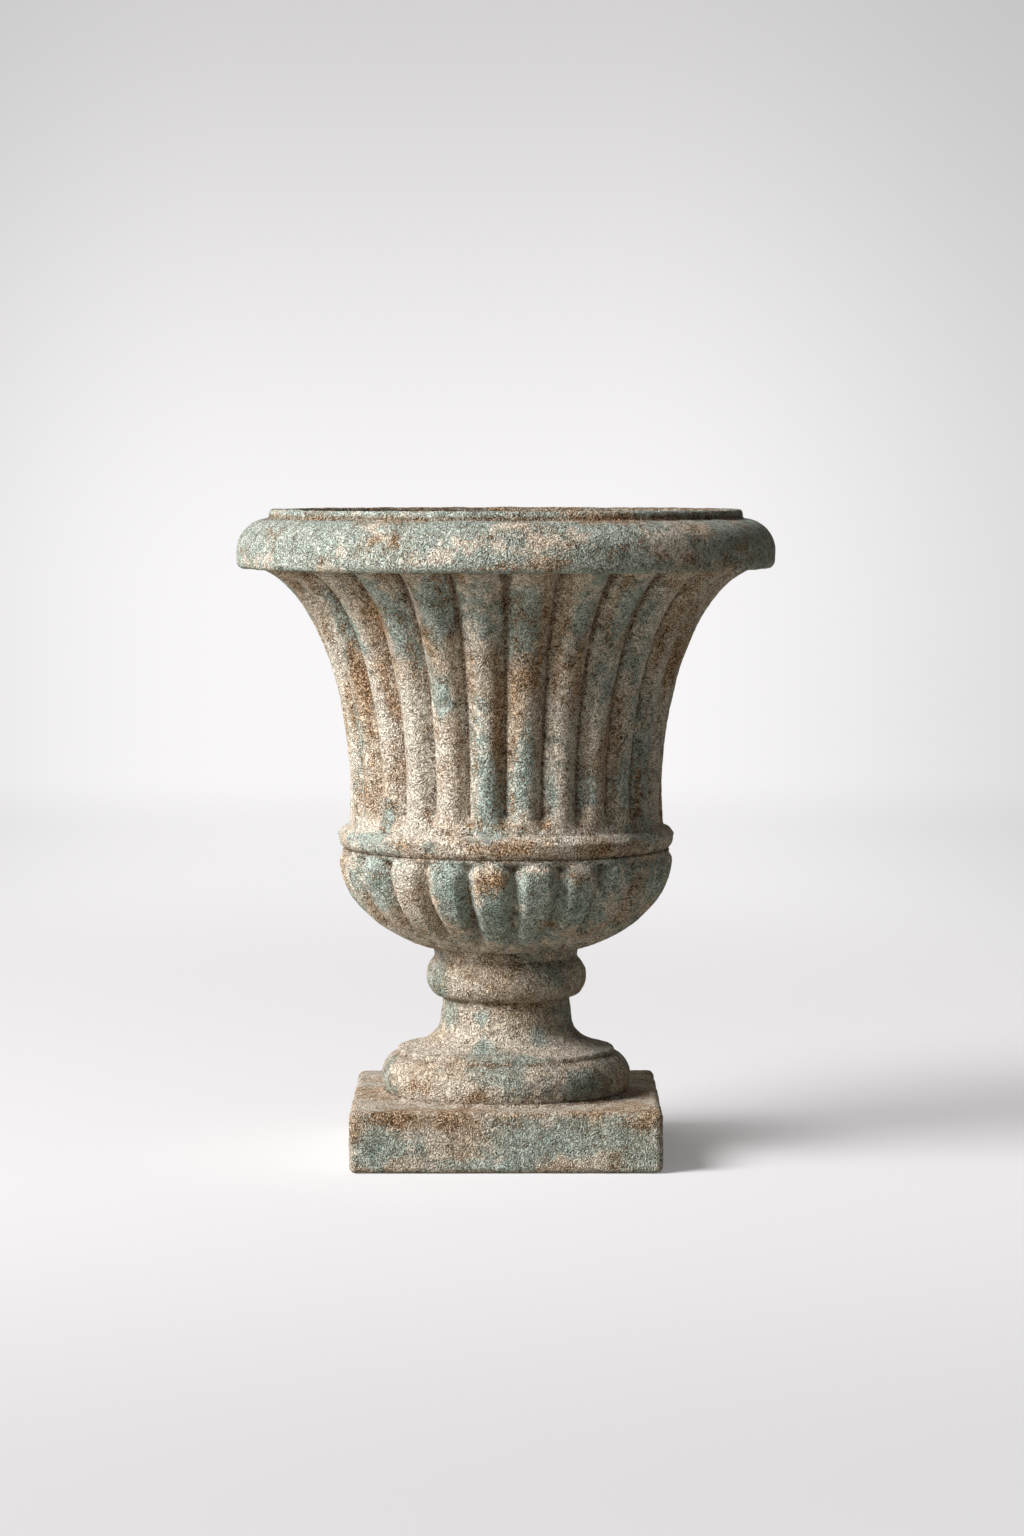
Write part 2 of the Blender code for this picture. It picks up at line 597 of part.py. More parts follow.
def flute_heights(low, high):
    """Heights of the fluted rings, closer together at the flutes' ends and in the flare."""
    heights = [high - run * FLUTE_END_LENGTH for run in FLUTE_END_RUNS]
    top_turn = math.asin((heights[-1] - BELL_WAIST_Z) / FLARE_HEIGHT)
    for step in range(1, BELL_STEPS):
        heights.append(BELL_WAIST_Z + FLARE_HEIGHT * math.sin(top_turn * (1.0 - step / BELL_STEPS)))
    heights += [low + run * FLUTE_END_LENGTH for run in reversed(FLUTE_END_RUNS)]
    return heights


def flute_ring(height, low, high):
    """A ring of the bell: full depth between rounded ends, growing a little with the flutes' width."""
    place = bell_point(height, 0.0)
    run = min((height - low) / FLUTE_END_LENGTH, (high - height) / FLUTE_END_LENGTH, 1.0)
    widened = math.sqrt(place[0] / BELL_WAIST_RADIUS)
    depth = FLUTE_DEPTH * widened * math.sqrt(1.0 - (1.0 - max(run, 0.0)) ** 2)
    return grooved_ring(place, depth, FLUTE_COUNT, 0.0, FLUTE_CORNERS, FLUTE_GROOVE_SHARE)


def bell_rings():
    """Down the flutes, over the bead, in along the foot's flange and up the inside."""
    flute_low = BELL_FOOT_Z + BEAD_HEIGHT + FLUTE_FOOT_MARGIN
    flute_high = BELL_TOP_Z - FLUTE_TOP_MARGIN
    rings = [plain_ring(BELL_TOP_RADIUS, BELL_TOP_Z, BEAD_COLUMNS)]
    rings += [flute_ring(height, flute_low, flute_high) for height in flute_heights(flute_low, flute_high)]
    bead = arc((BEAD_RADIUS - BEAD_BULGE, BELL_FOOT_Z + BEAD_HEIGHT / 2.0),
               (BEAD_BULGE, BEAD_HEIGHT / 2.0), 90.0, -90.0, BEAD_STEPS)
    rings += [plain_ring(radius, height, BEAD_COLUMNS) for radius, height in bead]
    spigot_bottom = BELL_FOOT_Z - SPIGOT_DEPTH
    flange_top = BELL_FOOT_Z + JOINT_FLANGE
    spigot_bore = BELL_SPIGOT_RADIUS - SPIGOT_WALL
    rings += [plain_ring(BELL_SPIGOT_RADIUS, BELL_FOOT_Z, INNER_COLUMNS),
              plain_ring(BELL_SPIGOT_RADIUS, spigot_bottom, INNER_COLUMNS),
              plain_ring(spigot_bore, spigot_bottom, INNER_COLUMNS),
              plain_ring(spigot_bore, flange_top, INNER_COLUMNS),
              plain_ring(bell_inner_radius(flange_top), flange_top, INNER_COLUMNS)]
    for step in range(BELL_INSIDE_STEPS + 1):
        rise = math.sin(math.radians(90.0) * step / BELL_INSIDE_STEPS)
        height = BELL_WAIST_Z + (MOUTH_UNDER_Z - BELL_WAIST_Z) * rise
        rings.append(plain_ring(bell_inner_radius(height), height, INNER_COLUMNS))
    rings += [plain_ring(MOUTH_BORE_RADIUS, MOUTH_UNDER_Z, RIM_COLUMNS),
              plain_ring(MOUTH_BORE_RADIUS, BELL_TOP_Z, RIM_COLUMNS)]
    return rings


def make_bell(parts, cutters, material):
    """The fluted bell, bolted to the bowl below and tapped for the rim's screws above."""
    bell = add_object("fluted_bell", skin_rings(bell_rings(), closed=True), parts, material)
    joint_holes = make_hole_cutter("bell_bolt_holes", circle_points(JOINT_BOLT_COUNT, JOINT_CIRCLE_RADIUS),
                                   BOLT_HOLE_RADIUS, BELL_FOOT_Z - CUT_OVERRUN,
                                   BELL_FOOT_Z + JOINT_FLANGE + CUT_OVERRUN, cutters)
    add_boolean(bell, joint_holes)
    tapped = make_hole_cutter("tapped_holes", mouth_screw_centres(), BOLT_HOLE_RADIUS,
                              MOUTH_UNDER_Z - CUT_OVERRUN, BELL_TOP_Z + CUT_OVERRUN, cutters)
    add_boolean(bell, tapped)


def mouth_screw_centres():
    return circle_points(MOUTH_SCREW_COUNT, MOUTH_CIRCLE_RADIUS, MOUTH_SCREW_TURN)


def rim_profile():
    """Down the lip and the roll, in along the soffit and the spigot, then up the hollow inside."""
    roll_z = RIM_TOP_Z - LIP_STEP - ROLL_HEIGHT
    hollow_axes = (ROLL_WIDTH - RIM_WALL, ROLL_HEIGHT - RIM_WALL)
    flange_top = RIM_FOOT_Z + RIM_WALL
    lip_inner = LIP_RADIUS - LIP_WALL
    edge_z = RIM_TOP_Z - LIP_EDGE_RADIUS
    edge_axes = (LIP_EDGE_RADIUS, LIP_EDGE_RADIUS)
    under_axes = (RIM_UNDER_RADIUS, RIM_UNDER_RADIUS)
    spigot_bottom = RIM_FOOT_Z - SPIGOT_DEPTH
    spigot_bore = RIM_SPIGOT_RADIUS - SPIGOT_WALL
    profile = arc((LIP_RADIUS - LIP_EDGE_RADIUS, edge_z), edge_axes, 90.0, 0.0, EDGE_STEPS)
    profile += arc((LIP_RADIUS, roll_z), (ROLL_WIDTH, ROLL_HEIGHT), 90.0, 0.0, ROLL_STEPS)
    profile += arc((RIM_RADIUS - RIM_UNDER_RADIUS, RIM_FOOT_Z + RIM_UNDER_RADIUS), under_axes,
                   0.0, -90.0, RIM_UNDER_STEPS)
    profile += [(RIM_SPIGOT_RADIUS, RIM_FOOT_Z), (RIM_SPIGOT_RADIUS, spigot_bottom),
                (spigot_bore, spigot_bottom), (spigot_bore, flange_top),
                (RIM_RADIUS - RIM_WALL, flange_top)]
    profile += arc((LIP_RADIUS, roll_z), hollow_axes, 0.0, 90.0, ROLL_INSIDE_STEPS)
    profile += [(lip_inner, roll_z + hollow_axes[1])]
    profile += arc((lip_inner + LIP_EDGE_RADIUS, edge_z), edge_axes, 180.0, 90.0, EDGE_STEPS)
    return profile


def make_rim(parts, cutters, material):
    """The rolled rim, with clearance holes in its flange for the screws into the bell."""
    rim = turn_profile("rim_ring", rim_profile(), RIM_COLUMNS, parts, material)
    holes = make_hole_cutter("rim_screw_holes", mouth_screw_centres(), BOLT_HOLE_RADIUS,
                             RIM_FOOT_Z - CUT_OVERRUN, RIM_FOOT_Z + RIM_WALL + CUT_OVERRUN, cutters)
    add_boolean(rim, holes)


# Hardware

def make_joint_bolts(parts, material):
    """Bolts down through the bell's and the bowl's flanges, each with a washer and a nut below."""
    centres = circle_points(JOINT_BOLT_COUNT, JOINT_CIRCLE_RADIUS)
    head_seat = BELL_FOOT_Z + JOINT_FLANGE + SEAT_GAP
    washer_bottom = BOWL_TOP_Z - JOINT_FLANGE - SEAT_GAP - BOLT_WASHER_THICKNESS
    nut_bottom = washer_bottom - SEAT_GAP - BOLT_NUT_HEIGHT
    bolt = make_bolt_mesh("bell_bolt", head_seat - nut_bottom + BOLT_SPARE_THREAD, material)
    washer = make_bored_mesh("bell_washer", BOLT_WASHER_RADIUS, BOLT_HOLE_RADIUS, BOLT_WASHER_THICKNESS,
                             DISC_COLUMNS, material)
    nut = make_bored_mesh("bell_nut", BOLT_HEX_RADIUS, BOLT_HOLE_RADIUS, BOLT_NUT_HEIGHT, HEX_COLUMNS,
                          material)
    place_copies("bell_bolt", bolt, centres, head_seat, parts)
    place_copies("bell_washer", washer, centres, washer_bottom, parts)
    place_copies("bell_nut", nut, centres, nut_bottom, parts)


def make_rim_screws(parts, material):
    """Screws down through the rim's flange into the bell's tapped holes, with a washer under each head."""
    washer_bottom = RIM_FOOT_Z + RIM_WALL + SEAT_GAP
    head_seat = washer_bottom + BOLT_WASHER_THICKNESS + SEAT_GAP
    screw = make_bolt_mesh("rim_screw", head_seat - MOUTH_UNDER_Z, material)
    washer = make_bored_mesh("rim_washer", BOLT_WASHER_RADIUS, BOLT_HOLE_RADIUS, BOLT_WASHER_THICKNESS,
                             DISC_COLUMNS, material)
    place_copies("rim_screw", screw, mouth_screw_centres(), head_seat, parts)
    place_copies("rim_washer", washer, mouth_screw_centres(), washer_bottom, parts)


def make_tie(parts, cutters, material):
    """The rod that clamps plinth, stem and bowl between the bowl's floor and a bar under the plinth."""
    top_washer = BOWL_FOOT_Z + BOWL_FLOOR + SEAT_GAP
    top_nut = top_washer + ROD_WASHER_THICKNESS + SEAT_GAP
    rod_top = top_nut + ROD_NUT_HEIGHT + ROD_SPARE_THREAD
    bar_top = PLINTH_HEIGHT - PLINTH_TOP_PLATE - SEAT_GAP
    bar_bottom = bar_top - BAR_THICKNESS
    low_washer = bar_bottom - SEAT_GAP - ROD_WASHER_THICKNESS
    low_nut = low_washer - SEAT_GAP - ROD_NUT_HEIGHT
    rod = bmesh.new()
    add_cylinder(rod, ROD_RADIUS, low_nut - ROD_SPARE_THREAD, rod_top, DISC_COLUMNS, (0.0, 0.0))
    add_object("tie_rod", rod, parts, material)
    washer = make_bored_mesh("rod_washer", ROD_WASHER_RADIUS, ROD_HOLE_RADIUS, ROD_WASHER_THICKNESS,
                             DISC_COLUMNS, material)
    nut = make_bored_mesh("rod_nut", ROD_HEX_RADIUS, ROD_HOLE_RADIUS, ROD_NUT_HEIGHT, HEX_COLUMNS, material)
    place_object("rod_top_washer", washer, (0.0, 0.0, top_washer), parts)
    place_object("rod_top_nut", nut, (0.0, 0.0, top_nut), parts)
    place_object("rod_bottom_washer", washer, (0.0, 0.0, low_washer), parts)
    place_object("rod_bottom_nut", nut, (0.0, 0.0, low_nut), parts)
    bar = make_box("clamp_bar", (BAR_LENGTH, BAR_WIDTH, BAR_THICKNESS),
                   (0.0, 0.0, (bar_top + bar_bottom) / 2.0), parts, material)
    add_bevel(bar, BAR_EDGE_RADIUS, EDGE_STEPS)
    add_boolean(bar, make_hole_cutter("bar_hole", [(0.0, 0.0)], ROD_HOLE_RADIUS, bar_bottom - CUT_OVERRUN,
                                      bar_top + CUT_OVERRUN, cutters, DISC_COLUMNS))


def main():
    clear_scene()
    parts = make_collection("fluted_garden_pot")
    cutters = make_collection("cutters")
    green = make_material("weathered_green", VERDIGRIS)
    lime = make_material("weathered_lime", LIMEWASH)
    rust = make_material("rusty_steel", RUST)
    make_plinth(parts, cutters, lime)
    make_stem(parts, lime)
    make_bowl(parts, cutters, green)
    make_bell(parts, cutters, lime)
    make_rim(parts, cutters, green)
    make_tie(parts, cutters, rust)
    make_joint_bolts(parts, rust)
    make_rim_screws(parts, rust)


main()
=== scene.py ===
import math

import bpy
import numpy as np
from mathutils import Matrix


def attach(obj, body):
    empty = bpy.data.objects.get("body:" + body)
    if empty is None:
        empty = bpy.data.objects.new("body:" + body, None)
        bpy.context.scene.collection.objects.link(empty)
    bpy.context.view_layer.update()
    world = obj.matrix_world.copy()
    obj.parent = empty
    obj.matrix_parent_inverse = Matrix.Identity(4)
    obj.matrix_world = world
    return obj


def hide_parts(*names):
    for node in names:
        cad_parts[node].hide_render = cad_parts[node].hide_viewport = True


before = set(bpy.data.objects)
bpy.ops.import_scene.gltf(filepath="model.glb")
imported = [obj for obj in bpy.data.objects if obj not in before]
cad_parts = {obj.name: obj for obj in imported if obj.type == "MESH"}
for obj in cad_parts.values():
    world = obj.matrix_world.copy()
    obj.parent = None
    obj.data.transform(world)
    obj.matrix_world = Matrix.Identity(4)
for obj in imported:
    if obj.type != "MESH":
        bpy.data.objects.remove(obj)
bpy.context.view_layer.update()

# A weathered cast-iron garden urn: five castings and their rusty bolts, on a pale studio floor.
# Lengths are millimetres in the dictionaries and metres in the meshes. Angles round the pot start
# at the front, -Y, and grow towards +X.

mm = 0.001


# Surfaces

def cellValue(cell, seed):
    # one repeatable value from -1 to 1 for each cell of space: the far decimals of a sine of its number
    mixed = cell @ np.array([127.1, 311.7, 74.7]) + seed * 53.3
    return 2.0 * np.modf(np.abs(np.sin(mixed) * 43758.5453))[0] - 1.0


def lumps(points, size, seed):
    # soft lumps of a size in metres: values at the eight corners of each cell, mixed by 3t^2 - 2t^3
    scaled = points / size
    cell = np.floor(scaled)
    t = scaled - cell
    t = t * t * (3.0 - 2.0 * t)
    total = np.zeros(points.shape[:-1])
    for corner in range(8):
        offset = np.array([corner & 1, corner >> 1 & 1, corner >> 2 & 1])
        weight = np.prod(np.where(offset == 1, t, 1.0 - t), axis=-1)
        total += weight * cellValue(cell + offset, seed)
    return total


def roughLumps(points, size, seed, octaves=3):
    # lumps, with finer ones half as high and half as wide laid over them
    return sum(lumps(points, size * 0.5 ** k, seed + 7 * k) * 0.5 ** k for k in range(octaves))


def arc(centre, halfAxes, start, end, steps=24):
    # points (radius, height) at centre + halfAxes * (cos a, sin a), a in degrees from start to end
    a = np.radians(np.linspace(start, end, steps + 1))
    return np.stack([centre[0] + halfAxes[0] * np.cos(a), centre[1] + halfAxes[1] * np.sin(a)], axis=1)


def evenly(line, spacing):
    # an open line again, at equal steps of about the spacing along its length
    line = np.asarray(line, dtype=float)
    run = np.concatenate([[0.0], np.cumsum(np.hypot(*np.diff(line, axis=0).T))])
    count = max(2, int(round(run[-1] / spacing)) + 1)
    at = np.linspace(0.0, run[-1], count)
    return np.stack([np.interp(at, run, line[:, k]) for k in (0, 1)], axis=1)


def joined(*lines):
    # lines end to end, without the points that two of them share
    kept = [lines[0]]
    for line in lines[1:]:
        same = np.allclose(line[0], kept[-1][-1], atol=1e-6)
        kept.append(line[1:] if same else line)
    return np.vstack(kept)


def rowsAlong(lines, steps):
    # one closed profile of lines end to end, each at its own row spacing, and the first line's rows
    parts = [evenly(line, step) for line, step in zip(lines, steps)]
    return joined(*parts)[:-1], len(parts[0])


def spigotLine(casting, top):
    # down the spigot under a casting's foot and up its bore to the top
    foot, low = casting["foot"], casting["foot"] - casting["spigotDeep"]
    return [[casting["spigot"], foot], [casting["spigot"], low], [casting["spigotBore"], low],
            [casting["spigotBore"], top]]


def worn(profile, passes):
    # a closed profile with its corners eased: each point moves halfway to its neighbours' middle
    for _ in range(passes):
        profile = 0.5 * profile + 0.25 * (np.roll(profile, 1, axis=0) + np.roll(profile, -1, axis=0))
    return profile


def gridNormals(points):
    # unit normals of a grid closed both ways: row direction x column direction points outwards
    down = np.roll(points, -1, axis=0) - np.roll(points, 1, axis=0)
    along = np.roll(points, -1, axis=1) - np.roll(points, 1, axis=1)
    normal = np.cross(down, along)
    return normal / np.maximum(np.linalg.norm(normal, axis=-1, keepdims=True), 1e-12)


def castGrain(points, grain, seat):
    # the casting's own relief along the normals, but not on a seat: slow hollows from the mould,
    # pebbles and coarse sand
    relief = (grain["slow"] * roughLumps(points, grain["slowSize"] * mm, 3)
              + grain["pebble"] * lumps(points, grain["pebbleSize"] * mm, 11)
              + grain["sand"] * lumps(points, grain["sandSize"] * mm, 23))
    return points + gridNormals(points) * (np.where(seat, 0.0, relief) * mm)[..., None]


def gridFaces(rows, columns, solid=False, first=0):
    # faces between each row and the next and each column and the next, closed both ways, or along
    # the columns only, with a flat cap at each end, for a solid
    index = first + np.arange(rows * columns).reshape(rows, columns)
    below = np.roll(index, -1, axis=0)
    beside = np.roll(index, -1, axis=1)
    across = np.roll(below, -1, axis=1)
    quads = np.stack([index, below, across, beside], axis=-1)
    if not solid:
        return quads.reshape(-1, 4)
    return quads[:-1].reshape(-1, 4).tolist() + [index[0].tolist(), index[-1, ::-1].tolist()]


def gridMesh(name, points, attributes, solid=False):
    rows, columns = points.shape[:2]
    mesh = bpy.data.meshes.new(name)
    mesh.from_pydata(points.reshape(-1, 3), [], gridFaces(rows, columns, solid))
    for key, values in attributes.items():
        layer = mesh.attributes.new(key, "FLOAT", "POINT")
        layer.data.foreach_set("value", np.ascontiguousarray(values, dtype=np.float32).ravel())
    mesh.shade_smooth()
    mesh.update()
    made = bpy.data.objects.new(name, mesh)
    bpy.context.scene.collection.objects.link(made)
    return made


def turned(profile, columns):
    # the profile (radius, height) at every angle: x = r sin a, y = -r cos a
    angle = np.arange(columns) / columns * math.tau
    radius = profile[:, 0, None]
    height = np.broadcast_to(profile[:, 1, None], (len(profile), columns))
    return np.stack([radius * np.sin(angle), -radius * np.cos(angle), height], axis=-1), angle


def patches(points, spots):
    # soft spots (degrees from the front, height, half width, half height, strength) summed, 0 far away
    angle = np.degrees(np.arctan2(points[..., 0], -points[..., 1]))
    radius = np.hypot(points[..., 0], points[..., 1])
    total = np.zeros(angle.shape)
    for place, height, wide, high, strength in spots:
        aside = np.radians((angle - place + 180.0) % 360.0 - 180.0) * radius
        away = (aside / (wide * mm)) ** 2 + ((points[..., 2] - height * mm) / (high * mm)) ** 2
        total += strength * np.exp(-away)
    return total


def hill(distance, strength, width):
    # strength at no distance, falling off to both sides: strength * exp(-(distance / width)^2)
    return strength * np.exp(-(distance / width) ** 2)


def sunk(points, depth, lean, angle):
    # points moved in by the depth, square to a wall that leans out by that angle: the way out is
    # (cos lean sin a, -cos lean cos a, -sin lean)
    lean = lean[:, None]
    out = np.stack([np.cos(lean) * np.sin(angle), -np.cos(lean) * np.cos(angle),
                    np.broadcast_to(-np.sin(lean), depth.shape)], axis=-1)
    return points - out * depth[..., None]


def castMesh(name, points, look, grime, stain=0.0):
    # a casting's grid with its layers: old dirt with painted shade, paint (above 0) or limewash (below 0),
    # and rust
    return gridMesh(name, points, {"grime": np.broadcast_to(grime, points.shape[:2]),
                                   "patina": patches(points, look["verdigris"]),
                                   "stain": patches(points, look["rust"]) + stain})


def dress(piece, node, finish):
    piece.data.materials.append(finish)
    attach(piece, "root")
    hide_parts(node)
    return piece


# Materials

def linear(hexColour):
    # sRGB hex to linear RGBA
    channels = [int(hexColour[k:k + 2], 16) / 255.0 for k in (1, 3, 5)]
    return tuple(c / 12.92 if c <= 0.04045 else ((c + 0.055) / 1.055) ** 2.4 for c in channels) + (1.0,)


def addNode(tree, kind, settings=None, **links):
    # one node: settings are its properties, and links fill its sockets by name or number
    node = tree.nodes.new(kind)
    for key, value in (settings or {}).items():
        setattr(node, key, value)
    for key, value in links.items():
        socket = node.inputs[int(key[1:])] if key[0] == "i" and key[1:].isdigit() else node.inputs[key]
        if isinstance(value, bpy.types.NodeSocket):
            tree.links.new(value, socket)
        else:
            socket.default_value = value
    return node


def newMaterial(name):
    made = bpy.data.materials.new(name)
    made.use_nodes = True
    made.node_tree.nodes.clear()
    return made, made.node_tree


def mapped(tree, place, shift=(0.0, 0.0, 0.0), scale=(1.0, 1.0, 1.0)):
    return addNode(tree, "ShaderNodeMapping", None, Vector=place, Location=shift, Scale=scale).outputs[0]


def noise(tree, place, size, detail=3.0, rough=0.6, twist=0.0):
    # noise whose lumps are about that many millimetres across
    return addNode(tree, "ShaderNodeTexNoise", None, Vector=place, Scale=1000.0 / size, Detail=detail,
                   Roughness=rough, Distortion=twist).outputs[0]


def sums(tree, operation, a, b=0.0, c=0.0):
    return addNode(tree, "ShaderNodeMath", {"operation": operation}, i0=a, i1=b, i2=c).outputs[0]


def between(tree, value, low, high, start=0.0, end=1.0):
    # start below low, end above high, and a smooth step between
    return addNode(tree, "ShaderNodeMapRange", {"interpolation_type": "SMOOTHSTEP"}, Value=value,
                   **{"From Min": low, "From Max": high, "To Min": start, "To Max": end}).outputs["Result"]


def blendColour(tree, factor, a, b, mode="MIX"):
    node = tree.nodes.new("ShaderNodeMix")
    node.data_type = "RGBA"
    node.blend_type = mode
    for socket, value in ((node.inputs[0], factor), (node.inputs[6], a), (node.inputs[7], b)):
        if isinstance(value, bpy.types.NodeSocket):
            tree.links.new(value, socket)
        else:
            socket.default_value = value
    return node.outputs[2]


# Sand-cast grey iron under an old coat of limewash and blue-green paint: to the eye a matt, gritty
# crust in cream and verdigris patches, brown where rust comes through and dark in every pit, with
# painted shade in its grooves, creases and insides and painted highlights on its raised grains.
# A ramp is (low, high, value below low, value above high), and without values it runs from 0 to 1.
crust = {
    "patchSize": 46.0,  # limewash and paint patches
    "otherShare": 0.7,  # of that size, the patches where rust comes through
    "fraySize": 10.0,  # their ragged edges
    "grainSize": 1.2,  # sand grains in the crust
    "wormSize": 4.4,  # lumps whose contour lines are the short wandering cracks
    "wormStep": 0.085,  # of their height, from a line to the plate between two lines
    "reliefDeep": 1.8,
    "shift": (0.31, 0.17, 0.53),  # metres, so that one noise differs from the next
    "otherShift": (0.7, 0.2, 0.4),
    "lime": "#e5dbcb",
    "limeDull": "#dbc7ae",
    "verdigris": "#abbdb5",
    "verdigrisPale": "#bac7be",
    "verdigrisDeep": "#849e96",
    "rust": "#cc975f",
    "rustDark": "#8c6640",
    "pit": "#47301b",
    # pale grain colour, which also paints the highlight on raised grains and plates
    "grainLight": "#e9e0d2",
    "soil": "#8c7453",
    # brown of old dirt, which also paints shade in the grooves, creases, undersides and insides
    "dirt": "#785d42",
    "weights": {"fray": 0.55, "speck": 0.25, "patch": 0.75, "otherPatch": 0.8, "rustGrain": 0.9,
                "dirtGrain": 0.5, "pitRagged": 0.4, "worn": 0.35, "plateRise": 0.35, "wornRise": 0.6,
                "soundRise": 0.5, "frayRise": 0.15},
    "greenRamp": (0.77, 0.86),  # less the share of paint
    "deepRamp": (0.92, 1.15),  # less half of it
    "dullRamp": (0.40, 0.64),
    "toneRamp": (0.40, 0.56),  # between the two tones of paint, and of rust
    "rustRamp": (1.33, 1.55, 0.0, 0.82),
    "dirtRamp": (0.84, 1.22, 0.0, 0.78),
    "pitDirtRamp": (0.67, 1.22, 0.0, 0.8),
    "splashRamp": (0.28, 0.52),
    "splashRange": (0.8, 1.2),  # of the share of soil
    "spotRamp": (0.08, 0.25, 1.0, 0.25),  # the splash spares the listed spots
    "plateRamp": (0.5, 0.95, 0.0, 0.3),  # in wormSteps, as the next two
    "crackRamp": (0.0, 0.7, 1.0, 0.0),
    "reliefRamp": (0.0, 0.8),
    "glintRamp": (0.53, 0.63, 0.0, 0.45),
    "paintGlints": (0.0, 1.0, 1.0, 0.6),
    "wearRamp": (0.42, 0.85, 0.68, 1.0),
    "hollowRamp": (0.33, 0.40, 0.9, 0.0),
    "roughRamp": (0.3, 0.7, 0.95, 0.8),
}


def crustMaterial(name, verdigrisShare, upright=1.0, soil=0.0):
    # upright draws the patches out along the height, as paint wears off flutes, and soil is the
    # share of splashed earth that dulls the coat
    c, weights = crust, crust["weights"]
    made, tree = newMaterial(name)

    def coated(share, under, over):
        # a colour over another by a share of 0 to 1
        return blendColour(tree, share, *(linear(c[k]) if isinstance(k, str) else k for k in (under, over)))

    def weighed(value, weight, rest):
        return sums(tree, "MULTIPLY_ADD", value, weight, rest)

    place = addNode(tree, "ShaderNodeTexCoord").outputs["Object"]
    grime, patina, stain = (addNode(tree, "ShaderNodeAttribute", {"attribute_name": key}).outputs["Fac"]
                            for key in ("grime", "patina", "stain"))
    shifted = mapped(tree, place, c["shift"])
    drawn = mapped(tree, shifted, scale=(1.0, 1.0, 1.0 / upright))
    patch = noise(tree, drawn, c["patchSize"], 3.0, 0.5, 0.3)
    otherPlace = mapped(tree, drawn, c["otherShift"])
    otherPatch = noise(tree, otherPlace, c["patchSize"] * c["otherShare"], 3.0, 0.55, 0.3)
    fray = noise(tree, place, c["fraySize"], 4.0, 0.6)
    grain = noise(tree, place, c["grainSize"], 1.0, 0.5)
    speck = noise(tree, shifted, c["grainSize"], 1.0, 0.5)
    worm = noise(tree, shifted, c["wormSize"], 2.0, 0.5, 0.8)
    crack = sums(tree, "PINGPONG", worm, c["wormStep"])  # 0 in a crack, wormStep on a plate
    ragged = weighed(fray, weights["fray"], sums(tree, "MULTIPLY", speck, weights["speck"]))

    def crackRamp(low, high, *ends):
        return between(tree, crack, c["wormStep"] * low, c["wormStep"] * high, *ends)

    # each coat stays where its patch noise, ragged edge and listed spots together pass a level
    greenLevel = sums(tree, "ADD", ragged, weighed(patch, weights["patch"], patina))
    green = between(tree, greenLevel, *(level - verdigrisShare for level in c["greenRamp"]))
    deep = between(tree, greenLevel, *(level - 0.5 * verdigrisShare for level in c["deepRamp"]))
    rustLevel = sums(tree, "ADD", ragged, weighed(otherPatch, weights["otherPatch"], stain))
    rusty = between(tree, weighed(grain, weights["rustGrain"], rustLevel), *c["rustRamp"])
    lime = coated(between(tree, otherPatch, *c["dullRamp"]), "lime", "limeDull")
    paint = coated(between(tree, fray, *c["toneRamp"]), "verdigrisPale", "verdigris")
    paint = coated(deep, paint, "verdigrisDeep")
    rust = coated(between(tree, speck, *c["toneRamp"]), "rustDark", "rust")
    colour = coated(green, lime, paint)
    # dirt and painted shade lie along grooves, creases and insides, darkest down in them; brown sits where
    # rust comes through
    dirtShadeLevel = weighed(grain, weights["dirtGrain"], sums(tree, "ADD", grime, ragged))
    dirtAndShade = between(tree, dirtShadeLevel, *c["dirtRamp"])
    colour = coated(dirtAndShade, colour, "dirt")
    colour = coated(rusty, colour, rust)
    # where that dirt and painted shade are strongest they turn to the pit colour
    darkDirtAndShade = between(tree, weighed(ragged, weights["pitRagged"], grime), *c["pitDirtRamp"])
    colour = coated(darkDirtAndShade, colour, "pit")
    # splashed earth
    splashed = between(tree, ragged, *c["splashRamp"], *(soil * share for share in c["splashRange"]))
    spared = between(tree, sums(tree, "ABSOLUTE", patina), *c["spotRamp"])
    colour = coated(sums(tree, "MULTIPLY", splashed, spared), colour, "soil")
    # the raised grains and plate tops are painted lighter, less on paint: painted highlight, partly pale
    # grains in the crust
    glints = sums(tree, "MAXIMUM", between(tree, grain, *c["glintRamp"]), crackRamp(*c["plateRamp"]))
    glints = sums(tree, "MULTIPLY", glints, between(tree, green, *c["paintGlints"]))
    colour = coated(glints, colour, "grainLight")
    # the cracks are faint on a sound coat and deepest where it is worn
    worst = weighed(sums(tree, "MAXIMUM", rusty, dirtAndShade), weights["worn"], fray)
    wear = between(tree, worst, *c["wearRamp"])
    colour = coated(sums(tree, "MULTIPLY", wear, crackRamp(*c["crackRamp"])), colour, "pit")
    hollow = between(tree, sums(tree, "MINIMUM", grain, speck), *c["hollowRamp"])
    colour = coated(sums(tree, "MULTIPLY", wear, hollow), colour, "pit")
    # grains and plates stand up, more where the coat is worn, on slow swells
    height = weighed(crackRamp(*c["reliefRamp"]), weights["plateRise"], grain)
    rise = weighed(wear, weights["wornRise"], weights["soundRise"])
    height = weighed(fray, weights["frayRise"], sums(tree, "MULTIPLY", height, rise))
    bump = addNode(tree, "ShaderNodeBump", None, Strength=1.0, Distance=c["reliefDeep"] * mm, Height=height)
    shader = addNode(tree, "ShaderNodeBsdfPrincipled", None, **{
        "Base Color": colour, "Roughness": between(tree, grain, *c["roughRamp"]), "Normal": bump.outputs[0],
        "IOR": 1.5, "Specular IOR Level": 0.1})
    addNode(tree, "ShaderNodeOutputMaterial", None, Surface=shader.outputs[0])
    return made


